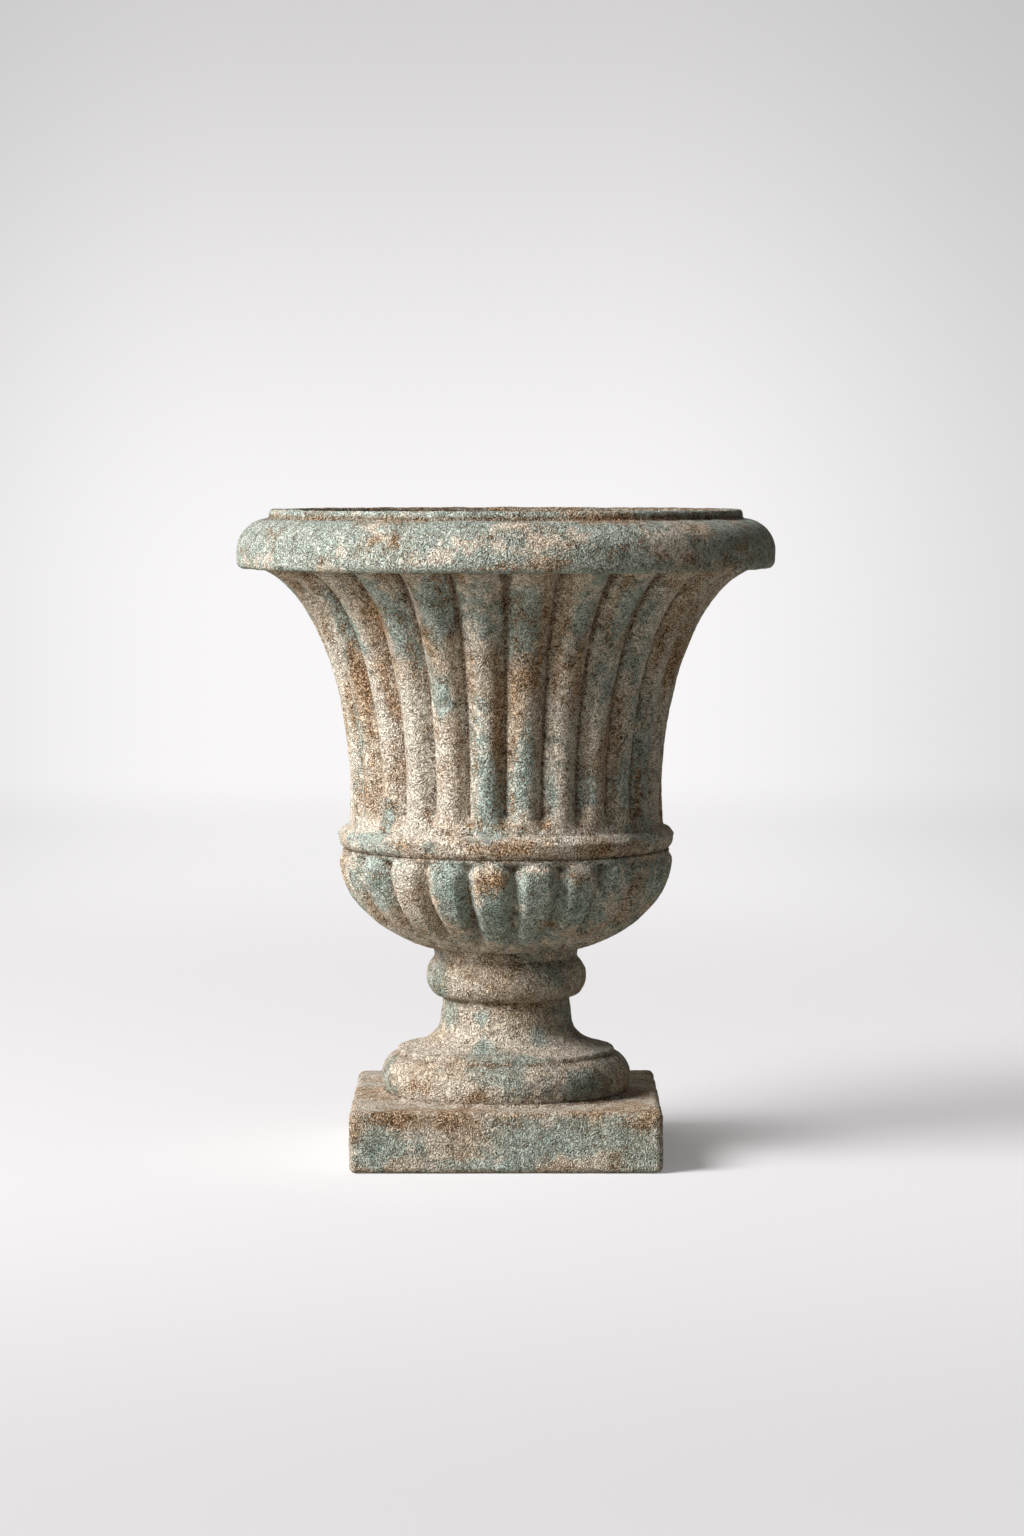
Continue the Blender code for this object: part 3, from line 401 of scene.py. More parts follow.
# Plain steel left outdoors: dull brown rust, darker and rougher in blotches, with a trace of grey metal
rustySteel = {
    "blotchSize": 7.0,
    "grainSize": 1.2,
    "reliefDeep": 0.4,
    "rustLight": "#7b5335",
    "rustDark": "#3a271b",
    "bare": "#5d5a55",
    "blotchRamp": (0.35, 0.65),
    "bareRamp": (0.74, 0.82),
    "roughRamp": (0.3, 0.7, 0.9, 0.55),
}


def rustySteelMaterial():
    s = rustySteel
    made, tree = newMaterial("rustySteel")
    place = addNode(tree, "ShaderNodeTexCoord").outputs["Object"]
    blotch = noise(tree, place, s["blotchSize"], 4.0, 0.65)
    grain = noise(tree, place, s["grainSize"], 2.0, 0.6)
    rusty = between(tree, blotch, *s["blotchRamp"])
    colour = blendColour(tree, rusty, linear(s["rustDark"]), linear(s["rustLight"]))
    bare = between(tree, sums(tree, "MULTIPLY_ADD", grain, 0.3, blotch), *s["bareRamp"])
    colour = blendColour(tree, bare, colour, linear(s["bare"]))
    bump = addNode(tree, "ShaderNodeBump", None, Strength=0.8, Distance=s["reliefDeep"] * mm,
                   Height=sums(tree, "ADD", blotch, grain)).outputs[0]
    shader = addNode(tree, "ShaderNodeBsdfPrincipled", None, **{
        "Base Color": colour, "Roughness": between(tree, blotch, *s["roughRamp"]), "Normal": bump,
        "Metallic": 0.35})
    addNode(tree, "ShaderNodeOutputMaterial", None, Surface=shader.outputs[0])
    return made


# Camera, light and floor

view = {
    "position": (0.0045, -3.2748, 0.5105),  # metres
    "pitch": -3.9,  # degrees, below level
    "lens": 103.1,
    "sensor": 36.0,  # the long side
    "clip": (0.05, 60.0),
}

cameraData = bpy.data.cameras.new("photoCamera")
cameraData.sensor_width = view["sensor"]
cameraData.lens = view["lens"]
cameraData.clip_start, cameraData.clip_end = view["clip"]
camera = bpy.data.objects.new("photoCamera", cameraData)
camera.location = view["position"]
camera.rotation_euler = (math.radians(90.0 + view["pitch"]), 0.0, 0.0)
bpy.context.scene.collection.objects.link(camera)
bpy.context.scene.camera = camera
bpy.context.scene.view_settings.view_transform = "Standard"
print("camera set")

# lengths in metres. A fade is (from, to) in metres, and two values where it doesn't run from 0 to 1.
studio = {
    "frontEdge": -6.0,
    "halfWidth": 6.0,
    "wallDistance": 3.07,
    "wallTop": 5.0,
    "coveRadius": 0.16,
    "floorColour": "#dad8d9",
    "bounceColour": "#a7a49b",  # what the floor throws back on the pot, as from a wide dim studio
    "nearFloor": "#ebe9ea",
    "farFloor": "#f1eff0",
    # the glow is brightest just above the floor and darker higher up and to the sides: painted light
    # falloff
    "wallLow": "#f9f7f8",  # just above the floor
    "wallHigh": "#cfcdce",  # above the top of the view
    "surround": "#edebec",  # what lies past the floor, in the views from the other sides
    "sideTone": (0.45, 0.45, 0.45, 1.0),
    "coveFade": (0.0, 0.07),
    "wallFade": (0.3, 1.4),
    "sideShift": 0.12,
    "sideFade": (0.25, 1.1, 0.0, 0.5),
    "frontFade": (-1.3, -0.1, 0.8, 1.0),
    "awayFade": (0.7, 2.2),
    "surroundFade": (1.6, 4.0),
    "floorGlow": 0.58,  # share of the floor's tone that the camera sees as glow, painted light that lifts the pot's shadow
    "contactGlow": 0.36,  # of the glow, kept close beside the pot
    "contactFade": (0.12, 0.32),
    "worldStrength": 0.081,
    "aim": (0.0, 0.0, 0.25),
    # lamps: name, watts, width, place
    "lamps": [
        ("keyLamp", 715.0, 3.2, (-4.22, -2.43, 3.75)),
        ("lowSideLamp", 68.0, 1.8, (-4.6, -1.9, 0.95))],
}


def seenRay(tree):
    # 1 for a ray from the camera, off a mirror or through glass, and 0 for one that lights a matt surface
    path = addNode(tree, "ShaderNodeLightPath").outputs
    direct = sums(tree, "MAXIMUM", path["Is Camera Ray"], path["Is Glossy Ray"])
    return sums(tree, "MAXIMUM", direct, path["Is Transmission Ray"])


def floorMesh():
    # the floor runs back to a soft cove and up a wall: a profile (y, z) drawn out along X
    s = studio
    radius = s["coveRadius"]
    bend = arc((s["wallDistance"] - radius, radius), (radius, radius), -90.0, 0.0, 16)
    profile = np.vstack([[[s["frontEdge"], 0.0]], bend, [[s["wallDistance"], s["wallTop"]]]])
    count = len(profile)
    points = np.zeros((2, count, 3))
    points[0, :, 0] = s["halfWidth"]
    points[1, :, 0] = -s["halfWidth"]
    points[:, :, 1:] = profile
    start = np.arange(count - 1)
    quads = np.stack([start, start + 1, start + 1 + count, start + count], axis=-1)
    mesh = bpy.data.meshes.new("studioFloor")
    mesh.from_pydata(points.reshape(-1, 3), [], quads)
    mesh.shade_smooth()
    mesh.update()
    return mesh


def floorMaterial():
    # matt pale paint near the pot. Far off, the camera sees glowing tones with painted light falloff:
    # brightest at the foot of the wall, fading upwards and to the sides, and past the sides and behind the
    # camera the surround's.
    s = studio
    made, tree = newMaterial("paleStudioPaint")
    place = addNode(tree, "ShaderNodeTexCoord").outputs["Object"]
    x, y, height = addNode(tree, "ShaderNodeSeparateXYZ", None, Vector=place).outputs
    seen = seenRay(tree)

    # painted shade: the floor's paint and near tone darken towards the front
    def dimmed(colour):
        return blendColour(tree, 1.0, linear(colour), between(tree, y, *s["frontFade"]), "MULTIPLY")

    up = between(tree, height, *s["wallFade"])
    wall = blendColour(tree, up, linear(s["wallLow"]), linear(s["wallHigh"]))
    tone = blendColour(tree, between(tree, height, *s["coveFade"]), linear(s["farFloor"]), wall)
    side = sums(tree, "ABSOLUTE", sums(tree, "ADD", x, s["sideShift"]))
    tone = blendColour(tree, between(tree, side, *s["sideFade"]), tone, s["sideTone"])
    distance = addNode(tree, "ShaderNodeVectorMath", {"operation": "LENGTH"}, i0=place).outputs["Value"]
    away = between(tree, distance, *s["awayFade"])
    tone = blendColour(tree, away, dimmed(s["nearFloor"]), tone)
    beyond = sums(tree, "MAXIMUM", sums(tree, "ABSOLUTE", x), sums(tree, "MULTIPLY", y, -1.0))
    tone = blendColour(tree, between(tree, beyond, *s["surroundFade"]), tone, linear(s["surround"]))
    glow = addNode(tree, "ShaderNodeEmission", None, Color=tone, Strength=1.0).outputs[0]
    paint = blendColour(tree, seen, linear(s["bounceColour"]), dimmed(s["floorColour"]))
    matt = addNode(tree, "ShaderNodeBsdfDiffuse", None, Color=paint).outputs[0]
    # the glow's share, painted light on the pot's shadow: least close beside the pot, where its shadow
    # lies, and whole far off
    close = between(tree, distance, *s["contactFade"], s["contactGlow"] * s["floorGlow"], s["floorGlow"])
    share = sums(tree, "MULTIPLY_ADD", away, 1.0 - s["floorGlow"], close)
    glowing = sums(tree, "MULTIPLY", seen, share)
    mixed = addNode(tree, "ShaderNodeMixShader", None, Fac=glowing, i1=matt, i2=glow)
    addNode(tree, "ShaderNodeOutputMaterial", None, Surface=mixed.outputs[0])
    return made


def makeStudio():
    mesh = floorMesh()
    mesh.materials.append(floorMaterial())
    floor = bpy.data.objects.new("studioFloor", mesh)
    bpy.context.scene.collection.objects.link(floor)


def makeLight():
    # a large soft lamp up to the left and front, a weak one low beside it, and a dim white surround
    for name, watts, wide, place in studio["lamps"]:
        lamp = bpy.data.lights.new(name, "AREA")
        lamp.energy = watts
        lamp.shape = "DISK"
        lamp.size = wide
        made = bpy.data.objects.new(name, lamp)
        made.location = place
        aimX, aimY, aimZ = np.array(studio["aim"]) - np.array(place)
        turn = math.atan2(aimY, aimX) - math.pi / 2.0
        made.rotation_euler = (math.atan2(math.hypot(aimX, aimY), -aimZ), 0.0, turn)
        bpy.context.scene.collection.objects.link(made)
    world = bpy.data.worlds.new("surround")
    world.use_nodes = True
    tree = world.node_tree
    background = tree.nodes["Background"]
    seen = seenRay(tree)
    tone = blendColour(tree, seen, (1.0, 1.0, 1.0, 1.0), linear(studio["surround"]))
    strength = between(tree, seen, 0.0, 1.0, studio["worldStrength"], 1.0)
    tree.links.new(tone, background.inputs["Color"])
    tree.links.new(strength, background.inputs["Strength"])
    bpy.context.scene.world = world


makeStudio()
makeLight()
print("studio set")

lowCrust = crustMaterial("soiledCastIron", -0.01, 1.0, 0.3)
fluteCrust = crustMaterial("limewashedCastIron", -0.05, 1.8)
greenCrust = crustMaterial("verdigrisCastIron", 0.0)
rimCrust = crustMaterial("paintedCastIron", 0.12, 0.6, 0.1)
rustFinish = rustySteelMaterial()

# relief of the casting, heights and sizes in millimetres
grain = {"slow": 0.38, "slowSize": 19.0, "pebble": 0.09, "pebbleSize": 6.0, "sand": 0.2, "sandSize": 2.6}


# Rim

rim = {
    "radius": 200.0,
    "lipRadius": 175.8,
    "lipWall": 7.3,
    "lipStep": 7.0,
    "lipEdge": 2.2,
    "rollHigh": 24.0,
    "underRadius": 5.0,
    "wall": 8.0,
    "foot": 436.6,
    "top": 480.3,
    "spigot": 141.5,
    "spigotBore": 136.5,
    "spigotDeep": 5.0,
    "seatRadius": 193.0,
    "seatNear": 1.2,  # where the sand grain stops
    "hollowRadius": 190.0,
    "columns": 720,
    "rowSteps": (1.3, 2.6, 2.0),  # outside, soffit, inside
    "insideGrime": 0.5,
    "stepGrime": (0.55, 5.0),  # strength and half width, on the lip's step
    "stepDrop": 6.0,  # of its middle, below the top
    "stepHigh": 3.0,
    "verdigris": [
        (-14, 449, 16, 9, -0.22), (10, 456, 44, 14, -0.16), (40, 455, 34, 14, -0.06),
        (-45, 457, 40, 14, 0.10), (24, 450, 26, 9, 0.24), (60, 462, 30, 14, 0.12), (150, 455, 50, 16, 0.12),
        (-120, 460, 40, 16, 0.12), (110, 450, 30, 12, -0.16)],
    # the rust spots at 33 and 60 degrees darken the rim's right side, turned from the lamp: painted shade
    # in rust colour
    "rust": [
        (-23, 457, 7, 6, 0.28), (-28, 459, 4, 4, 0.25), (-3, 440, 26, 4, 0.24), (9, 443, 24, 5, 0.20),
        (28, 475, 60, 4, 0.24), (-20, 473, 50, 3, 0.14), (33, 452, 26, 9, 0.20), (60, 452, 26, 12, 0.16),
        (165, 470, 60, 5, 0.18), (-150, 445, 30, 6, 0.16), (-100, 462, 12, 7, 0.22)],
}


def rimOutline():
    # down the lip and the roll, in along the soffit, up the spigot's bore and round the hollow
    r = rim
    rollZ = r["top"] - r["lipStep"] - r["rollHigh"]
    rollWide = r["radius"] - r["lipRadius"]
    hollow = (rollWide - r["wall"], r["rollHigh"] - r["wall"])
    lipInner = r["lipRadius"] - r["lipWall"]
    flange = r["foot"] + r["wall"]
    edge, under = r["lipEdge"], r["underRadius"]
    outside = joined(arc((r["lipRadius"] - edge, r["top"] - edge), (edge, edge), 90, 0, 8),
                     arc((r["lipRadius"], rollZ), (rollWide, r["rollHigh"]), 90, 0, 40),
                     arc((r["radius"] - under, r["foot"] + under), (under, under), 0, -90, 12))
    soffit = np.array([outside[-1], *spigotLine(r, flange), [r["radius"] - r["wall"], flange]])
    inside = joined(soffit[-1:], arc((r["lipRadius"], rollZ), hollow, 0, 90, 16),
                    np.array([[lipInner, rollZ + hollow[1]], [lipInner, r["top"] - edge]]),
                    arc((lipInner + edge, r["top"] - edge), (edge, edge), 180, 90, 8), outside[:1])
    profile, _ = rowsAlong((outside, soffit, inside), r["rowSteps"])
    return worn(profile, 2)


def makeRim():
    r = rim
    profile = rimOutline()
    points, _ = turned(profile * mm, r["columns"])
    radius, height = profile.T
    seat = (height < r["foot"] + r["seatNear"]) & (radius < r["seatRadius"])
    points = castGrain(points, grain, seat[:, None])
    # darker along the lip's step and over the inside and the flange
    onStep = hill(radius - r["lipRadius"], *r["stepGrime"])
    onStep *= hill(height - r["top"] + r["stepDrop"], 1.0, r["stepHigh"])
    onFlange = (height < r["foot"] + r["wall"] + 1.0) & (radius < r["hollowRadius"])
    inner = np.where((radius < r["lipRadius"] - 4.0) | onFlange, r["insideGrime"], 0.0)
    return castMesh("castRim", points, r, (onStep + inner)[:, None])


dress(makeRim(), "rim_ring", rimCrust)
print("rim made")


# Fluted bell

bell = {
    "foot": 228.6,
    "top": 436.3,
    "topRadius": 184.0,
    "waist": 266.3,
    "waistRadius": 116.2,
    "flareTurn": 81.3,
    "wall": 8.5,
    "spigot": 86.5,
    "spigotBore": 81.5,
    "spigotDeep": 5.0,
    "footPlate": 8.0,
    "mouthBore": 142.0,
    "mouthPlate": 12.0,
    "seatNear": 0.8,
    "flutes": 26,
    "fluteDepth": 7.6,
    "grooveHalf": 0.44,  # of the pitch, from a groove's middle out to the reed's crown
    "flankMix": (0.3, 0.35),  # of the quarter ellipse and of the cosine, over a groove's flank
    "crown": 0.52,  # share of the depth that the reed's own roundness takes
    "grooveTop": 452.0,
    "grooveFoot": 249.0,
    "topEnd": 0.8,  # height of the rounded ends, of half a groove's width
    "footEnd": 0.9,
    "beadRadius": 124.6,
    "beadBulge": 6.2,
    "beadHigh": 16.0,
    "beadFullness": 2.0,  # 2 is an ellipse, and more is squarer
    "beadFootShare": 0.4,  # of the bulge, kept down to the seam with the bowl
    "ridge": (0.12, 0.09),  # a fine ridge round the bead: of its bulge and half height
    "ridgeLift": 0.3,  # of its half height, above its middle
    "columns": 26 * 16,
    "rowSteps": (1.75, 1.3, 3.2, 4.6, 3.0),  # wall, bead, foot, inside, mouth
    "easedRows": 6,  # at the turn from the wall into the bead
    "beadRows": 24,
    "insideGrime": 0.55,
    "grooveGrime": (0.56, 2.4),  # strength, and the power of the depth
    "beadTopGrime": (0.3, 4.0),  # strength and width, as the others
    "rimGrime": (0.25, 6.0),
    "beadFootGrime": (0.42, 5.5),
    "wallRust": (0.15, 0.26),  # rust runs down the walls of the grooves
    "wallShare": 0.42,  # of the depth, where it is strongest
    "verdigris": [
        (-54, 398, 12, 22, 0.20), (-34, 400, 13, 24, 0.26), (-19, 402, 13, 24, 0.20),
        (5, 395, 14, 34, 0.26), (20, 397, 12, 30, 0.18), (36, 390, 18, 40, 0.12), (-22, 341, 7, 12, 0.24),
        (7, 303, 9, 32, 0.28), (-6, 277, 7, 26, 0.18), (-48, 258, 8, 14, 0.38), (17, 290, 6, 30, 0.16),
        (30, 275, 12, 26, 0.24), (56, 310, 16, 50, 0.16), (-27, 238, 8, 6, 0.22), (-55, 240, 16, 7, 0.14),
        (50, 240, 22, 8, 0.10), (-40, 320, 22, 50, -0.16), (-22, 292, 18, 30, -0.12),
        (0, 345, 8, 24, -0.10), (120, 380, 30, 30, 0.20), (160, 290, 26, 40, 0.22),
        (-110, 330, 26, 36, 0.20), (-150, 400, 30, 26, 0.18), (-170, 270, 26, 20, -0.12),
        (-38, 414, 70, 26, 0.10), (24, 405, 60, 30, 0.07)],
    "rust": [
        (-41, 405, 7, 9, 0.34), (-58, 360, 8, 30, 0.22), (-43, 338, 6, 16, 0.30), (-3, 325, 6, 26, 0.28),
        (-5, 372, 6, 10, 0.22), (7, 362, 7, 18, 0.25), (-63, 285, 7, 20, 0.16), (0, 236, 34, 7, 0.33),
        (-40, 237, 26, 6, 0.18), (22, 350, 10, 30, 0.14), (-30, 262, 14, 8, 0.14), (44, 330, 10, 30, 0.12),
        (14, 252, 30, 5, 0.16), (-8, 252, 30, 4, 0.14), (36, 235, 30, 8, 0.34), (75, 370, 20, 40, 0.14),
        (140, 330, 12, 40, 0.18), (-140, 300, 14, 40, 0.18)],
}


def bellWall(height, inset):
    # a quarter ellipse flaring up from the waist; inset is measured square to the wall
    b = bell
    turn = math.radians(b["flareTurn"])
    flareHigh = (b["top"] - b["waist"]) / math.sin(turn)
    flareWide = (b["topRadius"] - b["waistRadius"]) / (1.0 - math.cos(turn))
    share = (height - b["waist"]) / flareHigh
    root = np.sqrt(np.maximum(1.0 - share * share, 1e-9))
    lean = np.arctan(flareWide / flareHigh * share / root)
    radius = b["waistRadius"] + flareWide * (1.0 - root)
    return np.stack([radius - inset * np.cos(lean), height + inset * np.sin(lean)], axis=1), lean


def bellOutline():
    # the wall from the mouth down, the bead, the foot with its spigot, the inside and the mouth
    b = bell
    outer, _ = bellWall(np.linspace(b["top"], b["foot"] + b["beadHigh"], 200), 0.0)
    # the bead's half section: (x / bulge)^n + (z / half height)^n = 1
    lift = np.sin(np.radians(np.linspace(90.0, -90.0, 48)))
    out = (1.0 - np.abs(lift) ** b["beadFullness"]) ** (1.0 / b["beadFullness"])
    out = np.where(lift < 0.0, np.maximum(out, b["beadFootShare"]), out)
    out = out + hill(lift - b["ridgeLift"], *b["ridge"])
    bead = np.stack([b["beadRadius"] + b["beadBulge"] * (out - 1.0),
                     b["foot"] + b["beadHigh"] / 2.0 * (1.0 + lift)], axis=1)
    plateTop, plateUnder = b["foot"] + b["footPlate"], b["top"] - b["mouthPlate"]
    inner, _ = bellWall(np.linspace(b["foot"] - 4.0, b["top"] + 2.0, 200), b["wall"])
    inner = inner[(inner[:, 1] > plateTop) & (inner[:, 1] < plateUnder)]
    foot = np.array([bead[-1], *spigotLine(b, plateTop), inner[0]])
    mouth = np.array([inner[-1], [b["mouthBore"], plateUnder], [b["mouthBore"], b["top"]], outer[0]])
    profile, count = rowsAlong((outer, bead, foot, inner, mouth), b["rowSteps"])
    eased = worn(profile, 2)
    turning = slice(count - b["easedRows"], count + b["easedRows"])
    profile[turning] = eased[turning]
    profile[0] = eased[0]
    return profile, count


def fluteDepths(profile, count):
    # grooves: with t from 0 in the middle to 1 at the reed, depth falls by a quarter ellipse,
    # 1 - sqrt(1 - (1 - t)^2), and more by half a cosine, and a gentle crown runs over the reed
    b = bell
    along = np.arange(b["columns"]) / b["columns"] * b["flutes"]
    across = np.abs(along - np.round(along))[None, :]
    radius, height = profile[:, 0, None], profile[:, 1, None]
    pitch = math.tau * radius / b["flutes"]
    half = b["grooveHalf"] * pitch
    past = np.maximum(0.0, height - (b["grooveTop"] - half * b["topEnd"])) / b["topEnd"]
    short = np.maximum(0.0, (b["grooveFoot"] + half * b["footEnd"]) - height) / b["footEnd"]
    end = np.maximum(past, short)
    t = np.minimum(np.hypot(across * pitch, end) / half, 1.0)
    ellipse, cosine = b["flankMix"]
    flank = ellipse * (1.0 - np.sqrt(1.0 - (1.0 - t) ** 2)) + cosine * (1.0 + np.cos(math.pi * t))
    crown = (1.0 - 2.0 * across) ** 2 * np.sqrt(np.clip(1.0 - end / half, 0.0, 1.0))
    depth = (1.0 - b["crown"]) * flank + b["crown"] * crown
    depth[count:] = 0.0
    return depth * (b["fluteDepth"] * np.sqrt(radius / b["waistRadius"]))


def makeBell():
    b = bell
    profile, count = bellOutline()
    depth = fluteDepths(profile, count)
    points, angle = turned(profile, b["columns"])
    height = profile[:, 1]
    _, lean = bellWall(np.clip(height, b["foot"], b["top"]), 0.0)
    points = sunk(points, depth, lean, angle) * mm
    seat = (height > b["top"] - b["seatNear"]) | (height < b["foot"] + b["seatNear"])
    points = castGrain(points, grain, seat[:, None])
    rows = np.arange(len(profile))
    # painted shadow on the bell just under the rim, and dirt and painted shade in the crease above the bead
    aboveBead = np.maximum(0.0, height - b["foot"] - b["beadHigh"])
    outside = hill(aboveBead, *b["beadTopGrime"]) + hill(b["top"] - height, *b["rimGrime"])
    # the bead's lower half, its foot and the spigot are darker near the seam: dirt and painted shade
    level = np.where(rows < count, outside, hill(height - b["foot"], *b["beadFootGrime"]))
    level += np.where(rows > count + b["beadRows"], b["insideGrime"], 0.0)
    # darker down the grooves: dirt and painted shade
    strength, power = b["grooveGrime"]
    grime = strength * np.clip(depth / b["fluteDepth"], 0.0, 1.2) ** power + level[:, None]
    walls = hill(depth / b["fluteDepth"] - b["wallShare"], *b["wallRust"]) * (rows < count)[:, None]
    return castMesh("flutedBell", points, b, grime, walls)


dress(makeBell(), "fluted_bell", fluteCrust)
print("bell made")


# Gadrooned bowl

bowl = {
    "foot": 154.7,
    "centre": 221.3,
    "top": 228.3,
    "radius": 124.2,
    "footRadius": 61.0,
    "shoulder": 7.0,
    "shoulderPower": 0.8,  # 1 is round, and less is squarer
    "seamShare": 0.55,  # of the shoulder, kept up to the seam with the bell
    "wall": 8.5,
    "floor": 10.0,
    "rodHole": 6.6,
    "spigot": 36.5,
    "spigotBore": 31.5,
    "spigotDeep": 5.0,
    "flange": 8.0,
    "flangeBore": 87.0,
    "seatNear": 0.6,
    "lobes": 22,
    "lobeDepth": 9.0,
    "lobeRise": 2.0,  # of their rounded ends, above the bowl's top
    "turn": 3.0,  # degrees from the front to the nearest groove
    "flank": 0.6,  # of half the pitch, from a lobe's edge in to its flat
    "flankMix": (0.4, 0.6),  # of the quarter ellipse and of the smooth step, over that flank
    "corner": 0.8,  # of half the pitch, the rounding of a lobe's upper corners
    "fadeFoot": 3.0,  # they die out above the stem
    "fadeHigh": 15.0,
    "bandHigh": 1.5,  # and leave a plain band under the bead, with its easing below it
    "bandFade": 5.0,
    "columns": 22 * 24,
    "rowSteps": (1.35, 3.0, 4.0, 3.2),  # wall, underside, inside, flange
    "drains": 4,
    "drainCircle": 21.75,
    "drainRadius": 5.0,
    "drainSpan": (14.0, -4.0),  # of the cutters, from the foot
    "drainColumns": 24,
    "insideGrime": 0.6,
    "grooveGrime": 0.52,
    "seamGrime": (0.45, 2.4),
    "footGrime": (0.35, 8.0),
    "verdigris": [
        (-51, 211, 9, 14, 0.30), (-18, 204, 9, 20, 0.20), (-4, 188, 10, 18, 0.30), (12, 206, 15, 14, 0.22),
        (25, 196, 13, 16, 0.20), (62, 200, 18, 20, 0.18), (-32, 196, 12, 18, -0.10), (4, 172, 24, 8, 0.06),
        (100, 200, 24, 20, 0.16), (150, 185, 24, 20, 0.16), (-90, 200, 20, 18, 0.14),
        (-140, 190, 24, 18, -0.12)],
    "rust": [
        (-4, 214, 11, 7, 0.30), (-33, 205, 8, 14, 0.18), (28, 214, 12, 6, 0.16), (-16, 178, 16, 8, 0.10),
        (18, 178, 14, 7, 0.16), (48, 200, 10, 10, 0.12), (-60, 195, 8, 14, 0.15), (170, 205, 20, 10, 0.18),
        (-120, 205, 16, 10, 0.18)],
}


def bowlOutline():
    # the shoulder and the wall down to the foot, the spigot and floor, the inside and the flange
    b = bowl
    footTurn = math.acos(b["footRadius"] / b["radius"])
    curveHigh = (b["centre"] - b["foot"]) / math.sin(footTurn)
    # the shoulder: x and z grow with a power of the cosine and the sine
    turn = np.radians(np.linspace(90.0, 0.0, 24))
    reach = np.maximum(np.cos(turn) ** b["shoulderPower"], b["seamShare"])
    shoulder = np.stack([b["radius"] + b["shoulder"] * (reach - 1.0),
                         b["centre"] + b["shoulder"] * np.sin(turn) ** b["shoulderPower"]], axis=1)
    middle = (0.0, b["centre"])
    outer = joined(shoulder, arc(middle, (b["radius"], curveHigh), 0, -math.degrees(footTurn), 90))
    axes = (b["radius"] - b["wall"], curveHigh - b["wall"])
    floorTop, flangeUnder = b["foot"] + b["floor"], b["top"] - b["flange"]
    start, end = (-math.degrees(math.asin((b["centre"] - z) / axes[1])) for z in (floorTop, flangeUnder))
    inner = arc(middle, axes, start, end, 40)
    under = np.array([outer[-1], *spigotLine(b, b["foot"]), [b["rodHole"], b["foot"]],
                      [b["rodHole"], floorTop], inner[0]])
    flange = np.array([inner[-1], [b["flangeBore"], flangeUnder], [b["flangeBore"], b["top"]], outer[0]])
    profile, count = rowsAlong((outer, under, inner, flange), b["rowSteps"])
    return profile, count, curveHigh


def lobeDepths(profile, count):
    # each lobe is a tongue with rounded upper corners. Inwards from its edge the surface rises over
    # the flank by a quarter ellipse, sqrt(1 - (1 - t)^2), and more by a smooth step, 3t^2 - 2t^3.
    b = bowl
    radius, height = profile[:, 0, None], profile[:, 1, None]
    along = np.arange(b["columns"]) / b["columns"] * b["lobes"] - b["turn"] / 360.0 * b["lobes"]
    halfPitch = math.pi * radius / b["lobes"]
    corner = halfPitch * b["corner"]
    beside = 2.0 * np.abs(along - np.floor(along) - 0.5)[None, :] * halfPitch - (halfPitch - corner)
    above = height - (b["top"] + b["lobeRise"] - corner)
    past = np.hypot(np.maximum(beside, 0.0), np.maximum(above, 0.0))
    edge = corner - past - np.minimum(np.maximum(beside, above), 0.0)
    t = np.clip(edge / (halfPitch * b["flank"]), 0.0, 1.0)
    ellipse, step = b["flankMix"]
    pillow = ellipse * np.sqrt(1.0 - (1.0 - t) ** 2) + step * t ** 2 * (3.0 - 2.0 * t)
    fade = np.sqrt(np.clip((height - b["foot"] - b["fadeFoot"]) / b["fadeHigh"], 0.0, 1.0))
    band = np.clip((b["top"] - b["bandHigh"] - height) / b["bandFade"], 0.0, 1.0)
    depth = (1.0 - pillow) * fade * band * (2.0 - band) * b["lobeDepth"]
    depth[count:] = 0.0
    return depth


def makeBowl():
    b = bowl
    profile, count, curveHigh = bowlOutline()
    depth = lobeDepths(profile, count)
    points, angle = turned(profile, b["columns"])
    radius, height = profile.T
    lean = np.arctan2((b["centre"] - height) / curveHigh ** 2, np.maximum(radius, 1.0) / b["radius"] ** 2)
    points = sunk(points, depth, np.clip(lean, 0.0, 1.2), angle) * mm
    onStem = (height < b["foot"] + b["seatNear"]) & (radius < b["footRadius"] - 1.0)
    onStem &= radius > b["spigotBore"] - 1.5
    seat = (height > b["top"] - b["seatNear"]) | onStem
    points = castGrain(points, grain, seat[:, None])
    # dirt and painted shade at the seam under the bead, and painted shade under the bowl near its foot
    outside = hill(b["top"] - height, *b["seamGrime"]) + hill(height - b["foot"], *b["footGrime"])
    level = np.where(np.arange(len(profile)) < count, outside, b["insideGrime"])
    # darker down between the lobes: dirt and painted shade
    grime = b["grooveGrime"] * (depth / b["lobeDepth"]) ** 2 + level[:, None]
    return castMesh("gadroonedBowl", points, b, grime)


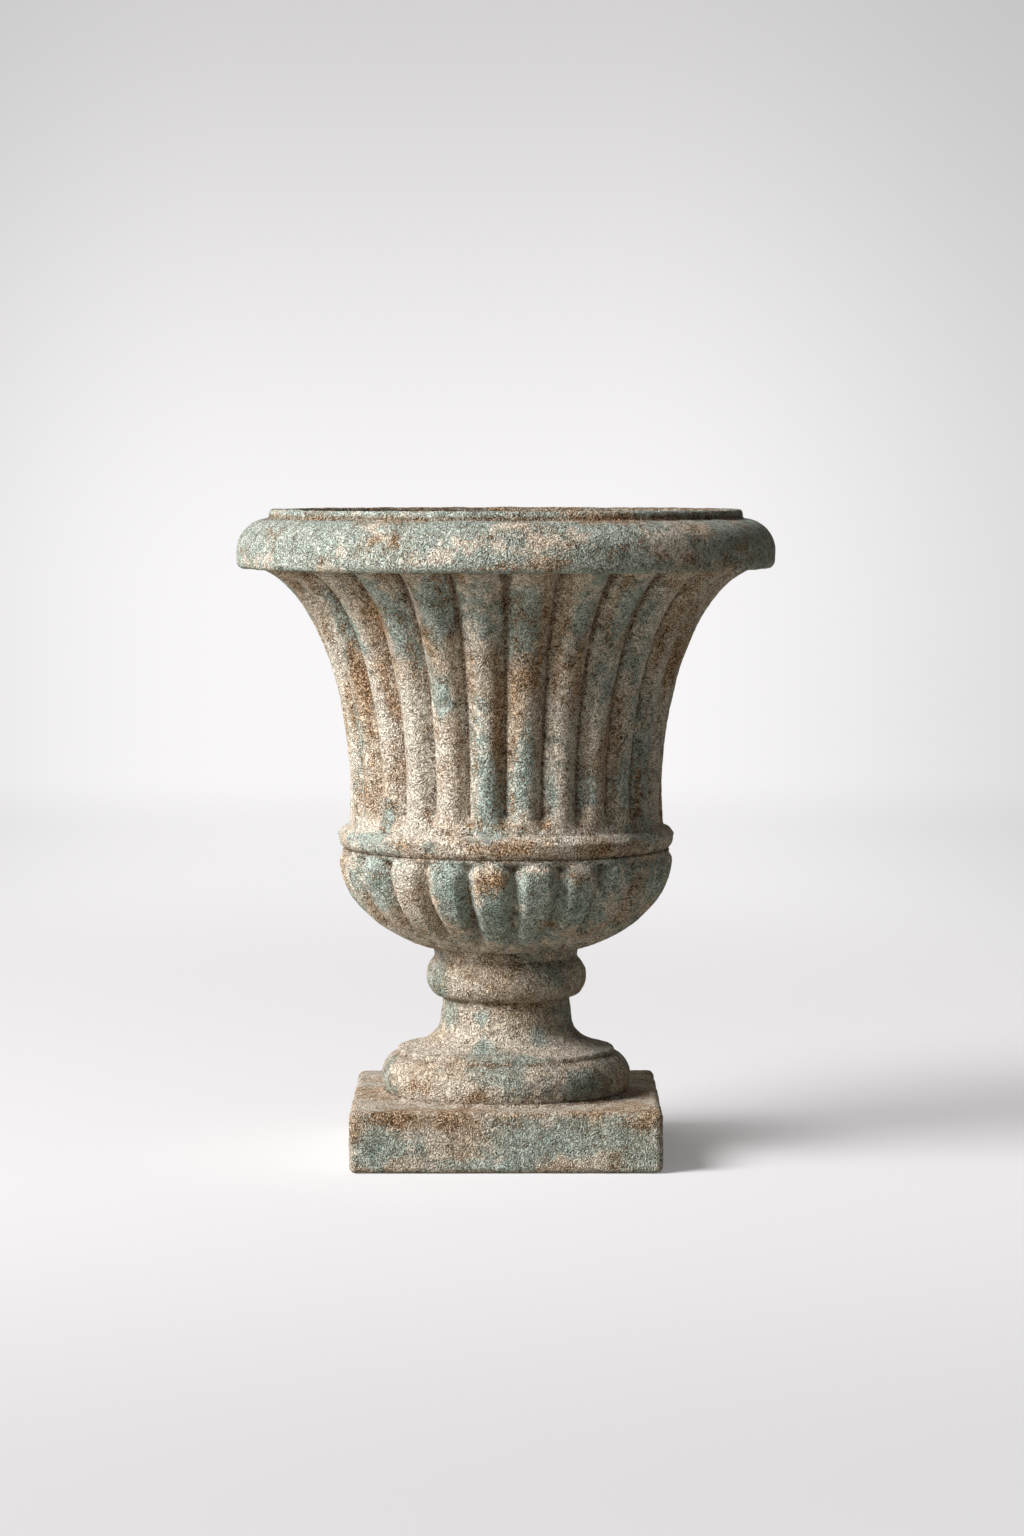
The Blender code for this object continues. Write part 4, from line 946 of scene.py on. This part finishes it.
def boreDrains(piece):
    # upright cylinders taken out of the floor: x = r sin a, y = -r cos a about each drain's centre
    b = bowl
    around = np.arange(b["drainColumns"]) / b["drainColumns"] * math.tau
    points, faces = [], []
    for k in range(b["drains"]):
        turn = k / b["drains"] * math.tau
        centre = b["drainCircle"] * np.array([math.sin(turn), -math.cos(turn)])
        ring = centre + b["drainRadius"] * np.stack([np.sin(around), -np.cos(around)], axis=1)
        faces += gridFaces(2, len(ring), True, 2 * k * len(ring))
        for reach in b["drainSpan"]:
            points.append(np.column_stack([ring, np.full(len(ring), b["foot"] + reach)]))
    mesh = bpy.data.meshes.new("drainCutter")
    mesh.from_pydata(np.vstack(points) * mm, [], faces)
    cutter = bpy.data.objects.new("drainCutter", mesh)
    bpy.context.scene.collection.objects.link(cutter)
    cut = piece.modifiers.new("drains", "BOOLEAN")
    cut.solver = "MANIFOLD"
    cut.object = cutter
    bored = bpy.data.meshes.new_from_object(piece.evaluated_get(bpy.context.evaluated_depsgraph_get()))
    bored.materials.clear()
    piece.modifiers.clear()
    piece.data = bored
    bpy.data.objects.remove(cutter)
    return piece


dress(boreDrains(makeBowl()), "gadrooned_bowl", greenCrust)
print("bowl made")


# Stem

stem = {
    "foot": 45.3,
    "fillet": 74.8,
    "cavetto": 78.3,
    "cavettoTurn": 75.0,  # degrees of its ellipse, short of flat
    "waist": 100.0,
    "knop": 116.5,
    "collar": 148.3,
    "top": 154.4,
    "collarRadius": 54.4,
    "collarTaper": 1.0,
    "waistRadius": 47.2,
    "knopBulge": 12.5,
    "waistFoot": 49.0,
    "filletRadius": 80.8,
    "torusRadius": 93.0,
    "torusBulge": 14.0,
    "torusCentre": 11.7,
    "footBore": 77.0,
    "bore": 37.0,
    "crownWall": 4.0,  # under the fillet
    "neckDrop": 8.5,  # from the waist to the top of the foot's dome
    "seatNear": 0.6,
    "columns": 400,
    "rowSteps": (1.25, 3.4),  # outside, inside
    "insideGrime": 0.6,
    # place, height above it, strength and width of the darkening along each crease: dirt and painted
    # shade, and painted shadow under the collar
    "creases": [("collar", -2.0, 0.4, 2.5), ("knop", 0.0, 0.45, 3.0), ("fillet", 0.0, 0.42, 2.4),
                ("foot", 0.0, 0.4, 4.0), ("top", 0.0, 0.3, 2.0)],
    "verdigris": [
        (38, 60, 17, 10, 0.34), (2, 63, 11, 7, 0.20), (-38, 69, 9, 5, 0.18), (-22, 105, 9, 9, 0.28),
        (-60, 110, 8, 14, 0.22), (-16, 84, 9, 7, 0.28), (6, 76, 9, 4, 0.26), (32, 90, 14, 10, 0.16),
        (-58, 130, 12, 12, 0.22), (-8, 132, 30, 14, -0.26), (40, 135, 14, 12, 0.16),
        (65, 105, 16, 16, 0.12), (-28, 58, 22, 12, -0.06), (-36, 92, 12, 12, -0.14), (0, 98, 14, 12, -0.10),
        (120, 70, 20, 16, 0.20), (170, 110, 20, 20, 0.18), (-130, 70, 20, 14, 0.18)],
    "rust": [
        (-14, 52, 18, 8, 0.32), (-45, 58, 18, 10, 0.24), (20, 68, 14, 5, 0.14), (-8, 128, 18, 7, 0.10),
        (0, 118, 40, 4, 0.12), (18, 98, 8, 8, 0.12), (58, 56, 14, 8, 0.16), (150, 60, 20, 8, 0.18),
        (-150, 130, 16, 10, 0.16)],
}


def stemOutline():
    # down the collar, the knop, the cavetto and the torus, then up the foot's dome and the bore
    s = stem
    collarFoot = s["collarRadius"] - s["collarTaper"]
    knopHalf = (s["collar"] - s["knop"]) / 2.0
    knopTop = math.degrees(math.acos((collarFoot - s["waistRadius"]) / s["knopBulge"]))
    turn = math.radians(s["cavettoTurn"])
    sweep = ((s["filletRadius"] - s["waistFoot"]) / (1.0 - math.cos(turn)),
             (s["waist"] - s["cavetto"]) / math.sin(turn))
    torusRise = s["fillet"] - s["foot"] - s["torusCentre"]
    torusMiddle = s["torusRadius"] - s["torusBulge"]
    torusTop = math.degrees(math.acos((s["filletRadius"] - torusMiddle) / s["torusBulge"]))
    torusFoot = -math.degrees(math.asin(s["torusCentre"] / torusRise))
    outer = joined(np.array([[s["collarRadius"], s["top"]], [collarFoot, s["collar"]]]),
                   arc((s["waistRadius"], s["knop"] + knopHalf), (s["knopBulge"], knopHalf),
                       knopTop, -90, 32),
                   arc((s["waistFoot"] + sweep[0], s["waist"]), sweep, 180, 180 + s["cavettoTurn"], 24),
                   arc((torusMiddle, s["foot"] + s["torusCentre"]), (s["torusBulge"], torusRise),
                       torusTop, torusFoot, 32))
    crown = s["fillet"] - s["crownWall"]
    neck = s["waist"] - s["neckDrop"]
    inner = joined(outer[-1:], np.array([[s["footBore"], s["foot"]]]),
                   arc((s["footBore"], neck), (s["footBore"] - s["bore"], neck - crown), 270, 180, 16),
                   np.array([[s["bore"], s["top"]]]), outer[:1])
    profile, count = rowsAlong((outer, inner), s["rowSteps"])
    profile[1:count - 4] = worn(profile, 1)[1:count - 4]
    return profile, count


def makeStem():
    s = stem
    profile, count = stemOutline()
    points, _ = turned(profile * mm, s["columns"])
    height = profile[:, 1]
    seat = (height > s["top"] - s["seatNear"]) | (height < s["foot"] + s["seatNear"])
    points = castGrain(points, grain, seat[:, None])
    outside = sum(hill(height - s[place] - above, *look) for place, above, *look in s["creases"])
    level = np.where(np.arange(len(profile)) < count, outside, s["insideGrime"])
    return castMesh("turnedStem", points, s, level[:, None])


dress(makeStem(), "stem", lowCrust)
print("stem made")


# Plinth

plinth = {
    "half": 114.0,
    "high": 45.0,
    "edge": 4.5,
    "corner": 5.0,
    "pocketHalf": 104.0,
    "pocketCorner": 12.0,
    "plate": 10.0,
    "hole": 45.0,
    "ringOuter": 76.5,
    "ringInner": 71.5,
    "ringTop": 50.0,
    "sideColumns": 124,
    "cornerColumns": 6,
    "easingRings": 5,
    # largest step of the rows from each key ring to the next: ring and top, edge, side, edge, inside
    "rowSteps": [5.0, 5.0, 1.7] + [9.0] * 4 + [1.7] + [9.0] * 4 + [5.0, 5.0, 8.0, 5.0, 6.0, 5.0],
    "seatRadius": 92.0,
    "seatNear": 0.4,
    "topNear": 1.0,
    "outerReach": 105.0,  # past the pocket's walls
    "sideReach": 110.0,  # past the eased edges
    "frontNear": -100.0,
    # old limewash and soil lie against the torus: a mound, in a band round it and clear of its underside
    "mound": (2.4, 2.6),
    "moundRadius": 91.0,
    "moundBand": (89.6, 104.0),
    "moundClear": 0.25,
    # arrises are knocked back unevenly, most at the corners
    "knockSize": 16.0,
    "knockLevel": 0.1,
    "edgeWide": 5.0,
    "edgeKnock": 0.9,
    "cornerKnock": (0.8, 12.0),
    "topLime": 0.22,
    "topRust": 0.08,
    "edgeRust": 0.06,
    "torusGrime": (0.35, 6.0),
    "insideGrime": 0.6,
    "footGrime": (0.25, 3.0),
    # front-face spots by X instead of angle: (x, height, half width, half height, strength)
    "verdigris": [
        (-93, 16, 18, 13, 0.22), (-63, 22, 15, 10, 0.18), (30, 22, 40, 17, 0.30), (83, 26, 10, 8, 0.16),
        (-12, 6, 30, 5, 0.22), (105, 10, 8, 8, 0.18), (-40, 20, 14, 10, -0.12)],
    "rust": [
        (-62, 39, 55, 6, 0.32), (-42, 24, 20, 10, 0.12), (97, 37, 16, 8, 0.24), (78, 12, 8, 14, 0.14),
        (20, 43, 60, 3, 0.14), (-93, 16, 16, 12, -0.20), (-110, 34, 6, 14, 0.2)],
    "grime": [
        (-66, 37, 60, 8, 0.26), (-44, 20, 20, 14, 0.16), (-113, 22, 5, 20, 0.2)],
}


def squareRing(core, offset):
    # a square of that half side pushed outwards by an offset, which rounds its corners
    sideCount, cornerCount = plinth["sideColumns"], plinth["cornerColumns"]
    t = np.linspace(-1.0, 1.0, sideCount, endpoint=False)
    arcT = np.radians(np.linspace(0.0, 90.0, cornerCount, endpoint=False))
    ring = []
    for quarter in range(4):
        side = np.stack([t * core, np.full(sideCount, -(core + offset))], axis=1)
        bend = np.stack([core + offset * np.sin(arcT), -core - offset * np.cos(arcT)], axis=1)
        part = np.vstack([side, bend])
        c, s = math.cos(quarter * math.pi / 2.0), math.sin(quarter * math.pi / 2.0)
        ring.append(part @ np.array([[c, s], [-s, c]]))
    return np.vstack(ring)


def plinthGrid():
    # rows of points from each key ring to the next: the centring ring, the top, its edge, the sides,
    # the lower edge, and back up the pocket and the hole
    p = plinth
    core = p["half"] - p["corner"]
    outline = squareRing(core, p["corner"])
    direction = outline / np.linalg.norm(outline, axis=1, keepdims=True)
    pocket = squareRing(p["pocketHalf"] - p["pocketCorner"], p["pocketCorner"])
    easing = np.radians(np.linspace(0.0, 90.0, p["easingRings"]))
    inset = p["edge"] * (1.0 - np.sin(easing))
    drop = p["edge"] * (1.0 - np.cos(easing))
    top, under = p["high"], p["high"] - p["plate"]
    levels = [(direction * p["ringInner"], p["ringTop"]), (direction * p["ringOuter"], p["ringTop"]),
              (direction * p["ringOuter"], top)]
    levels += [(squareRing(core, p["corner"] - i), top - d) for i, d in zip(inset, drop)]
    levels += [(squareRing(core, p["corner"] - i), d) for i, d in zip(inset[::-1], drop[::-1])]
    levels += [(pocket, 0.0), (pocket, under), (direction * p["hole"], under), (direction * p["hole"], top),
               (direction * p["ringInner"], top)]
    keys = [np.column_stack([ring, np.full(len(ring), height)]) for ring, height in levels]
    rows = []
    for a, b, gap in zip(keys, keys[1:] + keys[:1], p["rowSteps"]):
        steps = max(1, int(np.median(np.linalg.norm(b - a, axis=1)) / gap))
        rows += [a + (b - a) * k / steps for k in range(steps)]
    return np.array(rows)


def makePlinth():
    p = plinth
    points = plinthGrid()
    height = points[..., 2]
    reach = np.max(np.abs(points[..., :2]), axis=-1)
    radius = np.hypot(points[..., 0], points[..., 1])
    seat = (height < p["seatNear"]) | (radius < p["seatRadius"]) & (height > p["high"] - p["topNear"])
    # the torus's underside: half an ellipse about its centre
    lowTorus = stem["foot"] + stem["torusCentre"]
    bulge = np.clip((radius - stem["torusRadius"] + stem["torusBulge"]) / stem["torusBulge"], 0.0, 1.0)
    under = lowTorus - (stem["fillet"] - lowTorus) * np.sqrt(1.0 - bulge ** 2) - p["moundClear"]
    mound = p["high"] + hill(radius - p["moundRadius"], *p["mound"])
    nearest, farthest = p["moundBand"]
    inBand = (height > p["high"] - 0.01) & (radius > nearest) & (radius < farthest)
    points[..., 2] = np.where(inBand, np.maximum(p["high"], np.minimum(mound, under)), height)
    height = points[..., 2]
    scaled = points * mm
    below, aside = p["high"] - height, p["half"] - reach
    edgeNear = np.exp(-(below / p["edgeWide"]) ** 2 - (aside / p["edgeWide"]) ** 2)
    offCorner = p["half"] - np.min(np.abs(points[..., :2]), axis=-1)
    cornerNear = hill(offCorner, *p["cornerKnock"]) * (reach > p["outerReach"])
    rough = np.maximum(0.0, lumps(scaled, p["knockSize"] * mm, 41) + p["knockLevel"])
    knocks = rough * (p["edgeKnock"] * edgeNear + cornerNear)
    scaled = scaled - gridNormals(scaled) * (knocks * mm)[..., None]
    scaled = castGrain(scaled, grain, seat)
    front = {key: sum(strength * np.exp(-((points[..., 0] - x) / wide) ** 2 - ((height - z) / high) ** 2)
                      for x, z, wide, high, strength in p[key]) * (points[..., 1] < p["frontNear"])
             for key in ("verdigris", "rust", "grime")}
    topFace = height > p["high"] - p["topNear"]
    patina = front["verdigris"] - p["topLime"] * topFace
    stain = front["rust"] + p["edgeRust"] * edgeNear + p["topRust"] * topFace
    inside = (reach < p["outerReach"]) & (height < p["high"] - 2.0)
    grime = front["grime"] + p["insideGrime"] * inside
    # dirt and painted shade on the top face round the torus's foot
    grime += hill(radius - stem["torusRadius"], *p["torusGrime"]) * topFace
    # painted shade along the foot of the sides, where the plinth meets the floor
    grime += hill(height, *p["footGrime"]) * (reach > p["sideReach"])
    return gridMesh("squarePlinth", scaled, {"grime": grime, "patina": patina, "stain": stain})


dress(makePlinth(), "plinth", lowCrust)
print("plinth made")


# Hardware

# across a hexagon's flats, the height of a head, the bore of a nut or washer, the shank and its thread
hardware = {
    "bell_bolt": {"flats": 13.0, "head": 5.3, "shank": 4.0, "pitch": 1.25},
    "bell_nut": {"flats": 13.0, "bore": 4.6},
    "bell_washer": {"bore": 4.6},
    "rim_screw": {"flats": 13.0, "head": 5.3, "shank": 4.0, "pitch": 1.25},
    "rim_washer": {"bore": 4.6},
    "rod_top_nut": {"flats": 18.0, "bore": 6.6},
    "rod_top_washer": {"bore": 6.6},
    "rod_bottom_nut": {"flats": 18.0, "bore": 6.6},
    "rod_bottom_washer": {"bore": 6.6},
    "tie_rod": {"shank": 6.0, "pitch": 1.75},
}
steelCut = {
    "chamferStart": 0.475,  # of a hexagon's flats, from its axis
    "chamferTurn": 30.0,
    "chamferRows": 5,
    "washerEdge": 0.3,
    "boreEdge": 0.4,
    "tip": 1.0,  # taken off a shank's end
    "plainHigh": 0.5,  # between a head, or a rod's tip, and the thread
    "threadDepth": 0.5,  # of the pitch
    "threadEnd": 0.8,
    "threadSteps": 5,
    "columns": 48,
}


def hexagonReach(angle, flats, cornersAside):
    # flats / 2 / cos(a), with a from -30 to 30 degrees off the middle of the nearest flat
    sixth = math.pi / 3.0
    start = sixth / 2.0 if cornersAside else sixth
    return flats / 2.0 / np.cos((angle + start) % sixth - sixth / 2.0)


def makeFastener(name, node, size):
    # each row is (height, largest radius), and its radius is the smaller of that and the hexagon's
    cut = steelCut
    found = np.empty(len(node.data.vertices) * 3)
    node.data.vertices.foreach_get("co", found)
    low, high = (edge(found.reshape(-1, 3) / mm, axis=0) for edge in (np.min, np.max))
    foot, top, outer = low[2], high[2], np.max(high[:2] - low[:2]) / 2.0
    angle = np.arange(cut["columns"]) / cut["columns"] * math.tau
    limit = np.full(len(angle), np.inf)
    easing = [(0.0, outer - cut["washerEdge"]), (cut["washerEdge"], outer)]
    if "flats" in size:
        limit = hexagonReach(angle, size["flats"], high[0] - low[0] > high[1] - low[1])
        start = size["flats"] * cut["chamferStart"]
        slope = math.tan(math.radians(cut["chamferTurn"]))
        reaches = np.linspace(start, outer, cut["chamferRows"])
        easing = [((reach - start) * slope, reach) for reach in reaches]
    rows = [(top - drop, reach) for drop, reach in easing]
    if "shank" in size:
        shank = size["shank"]
        neck = top - size.get("head", cut["plainHigh"])
        if "head" in size:
            rows += [(neck, outer), (neck, shank)]
        else:
            rows = [(top, shank - cut["tip"]), (neck, shank)]
        steps = int((neck - foot - cut["tip"]) / size["pitch"] * cut["threadSteps"])
        thread = slice(len(rows), len(rows) + steps)
        rows += [(z, shank) for z in np.linspace(neck - cut["plainHigh"], foot + cut["threadEnd"], steps)]
        rows += [(foot, shank - cut["tip"])]
    else:
        rows += [(foot + drop, reach) for drop, reach in easing[::-1]]
        bore, edge = size["bore"], cut["boreEdge"]
        rows += [(foot, bore + edge), (foot + edge, bore), (top - edge, bore), (top, bore + edge)]
    rows = np.array(rows)
    radius = np.minimum(rows[:, 1, None], limit[None, :])
    height = np.broadcast_to(rows[:, 0, None], radius.shape)
    if "shank" in size:
        # the thread's groove winds round once each pitch: depth (1 + cos(2 pi z / pitch + a)) / 2
        turns = math.tau * height[thread] / size["pitch"] + angle[None, :]
        radius[thread] -= cut["threadDepth"] * size["pitch"] * 0.5 * (1.0 + np.cos(turns))
    middle = (low + high) / 2.0
    x, y = middle[0] + radius * np.sin(angle), middle[1] - radius * np.cos(angle)
    points = np.stack([x, y, height], axis=-1)
    first, *rest = name.split("_")
    made = gridMesh(first + "".join(word.capitalize() for word in rest), points * mm, {}, "shank" in size)
    made.data.shade_flat()
    return made


for name, node in list(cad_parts.items()):
    kind = name.rstrip("_0123456789")
    if kind in hardware:
        dress(makeFastener(name, node, hardware[kind]), name, rustFinish)
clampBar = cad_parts["clamp_bar"].data
clampBar.materials.clear()
clampBar.materials.append(rustFinish)
print("hardware finished")
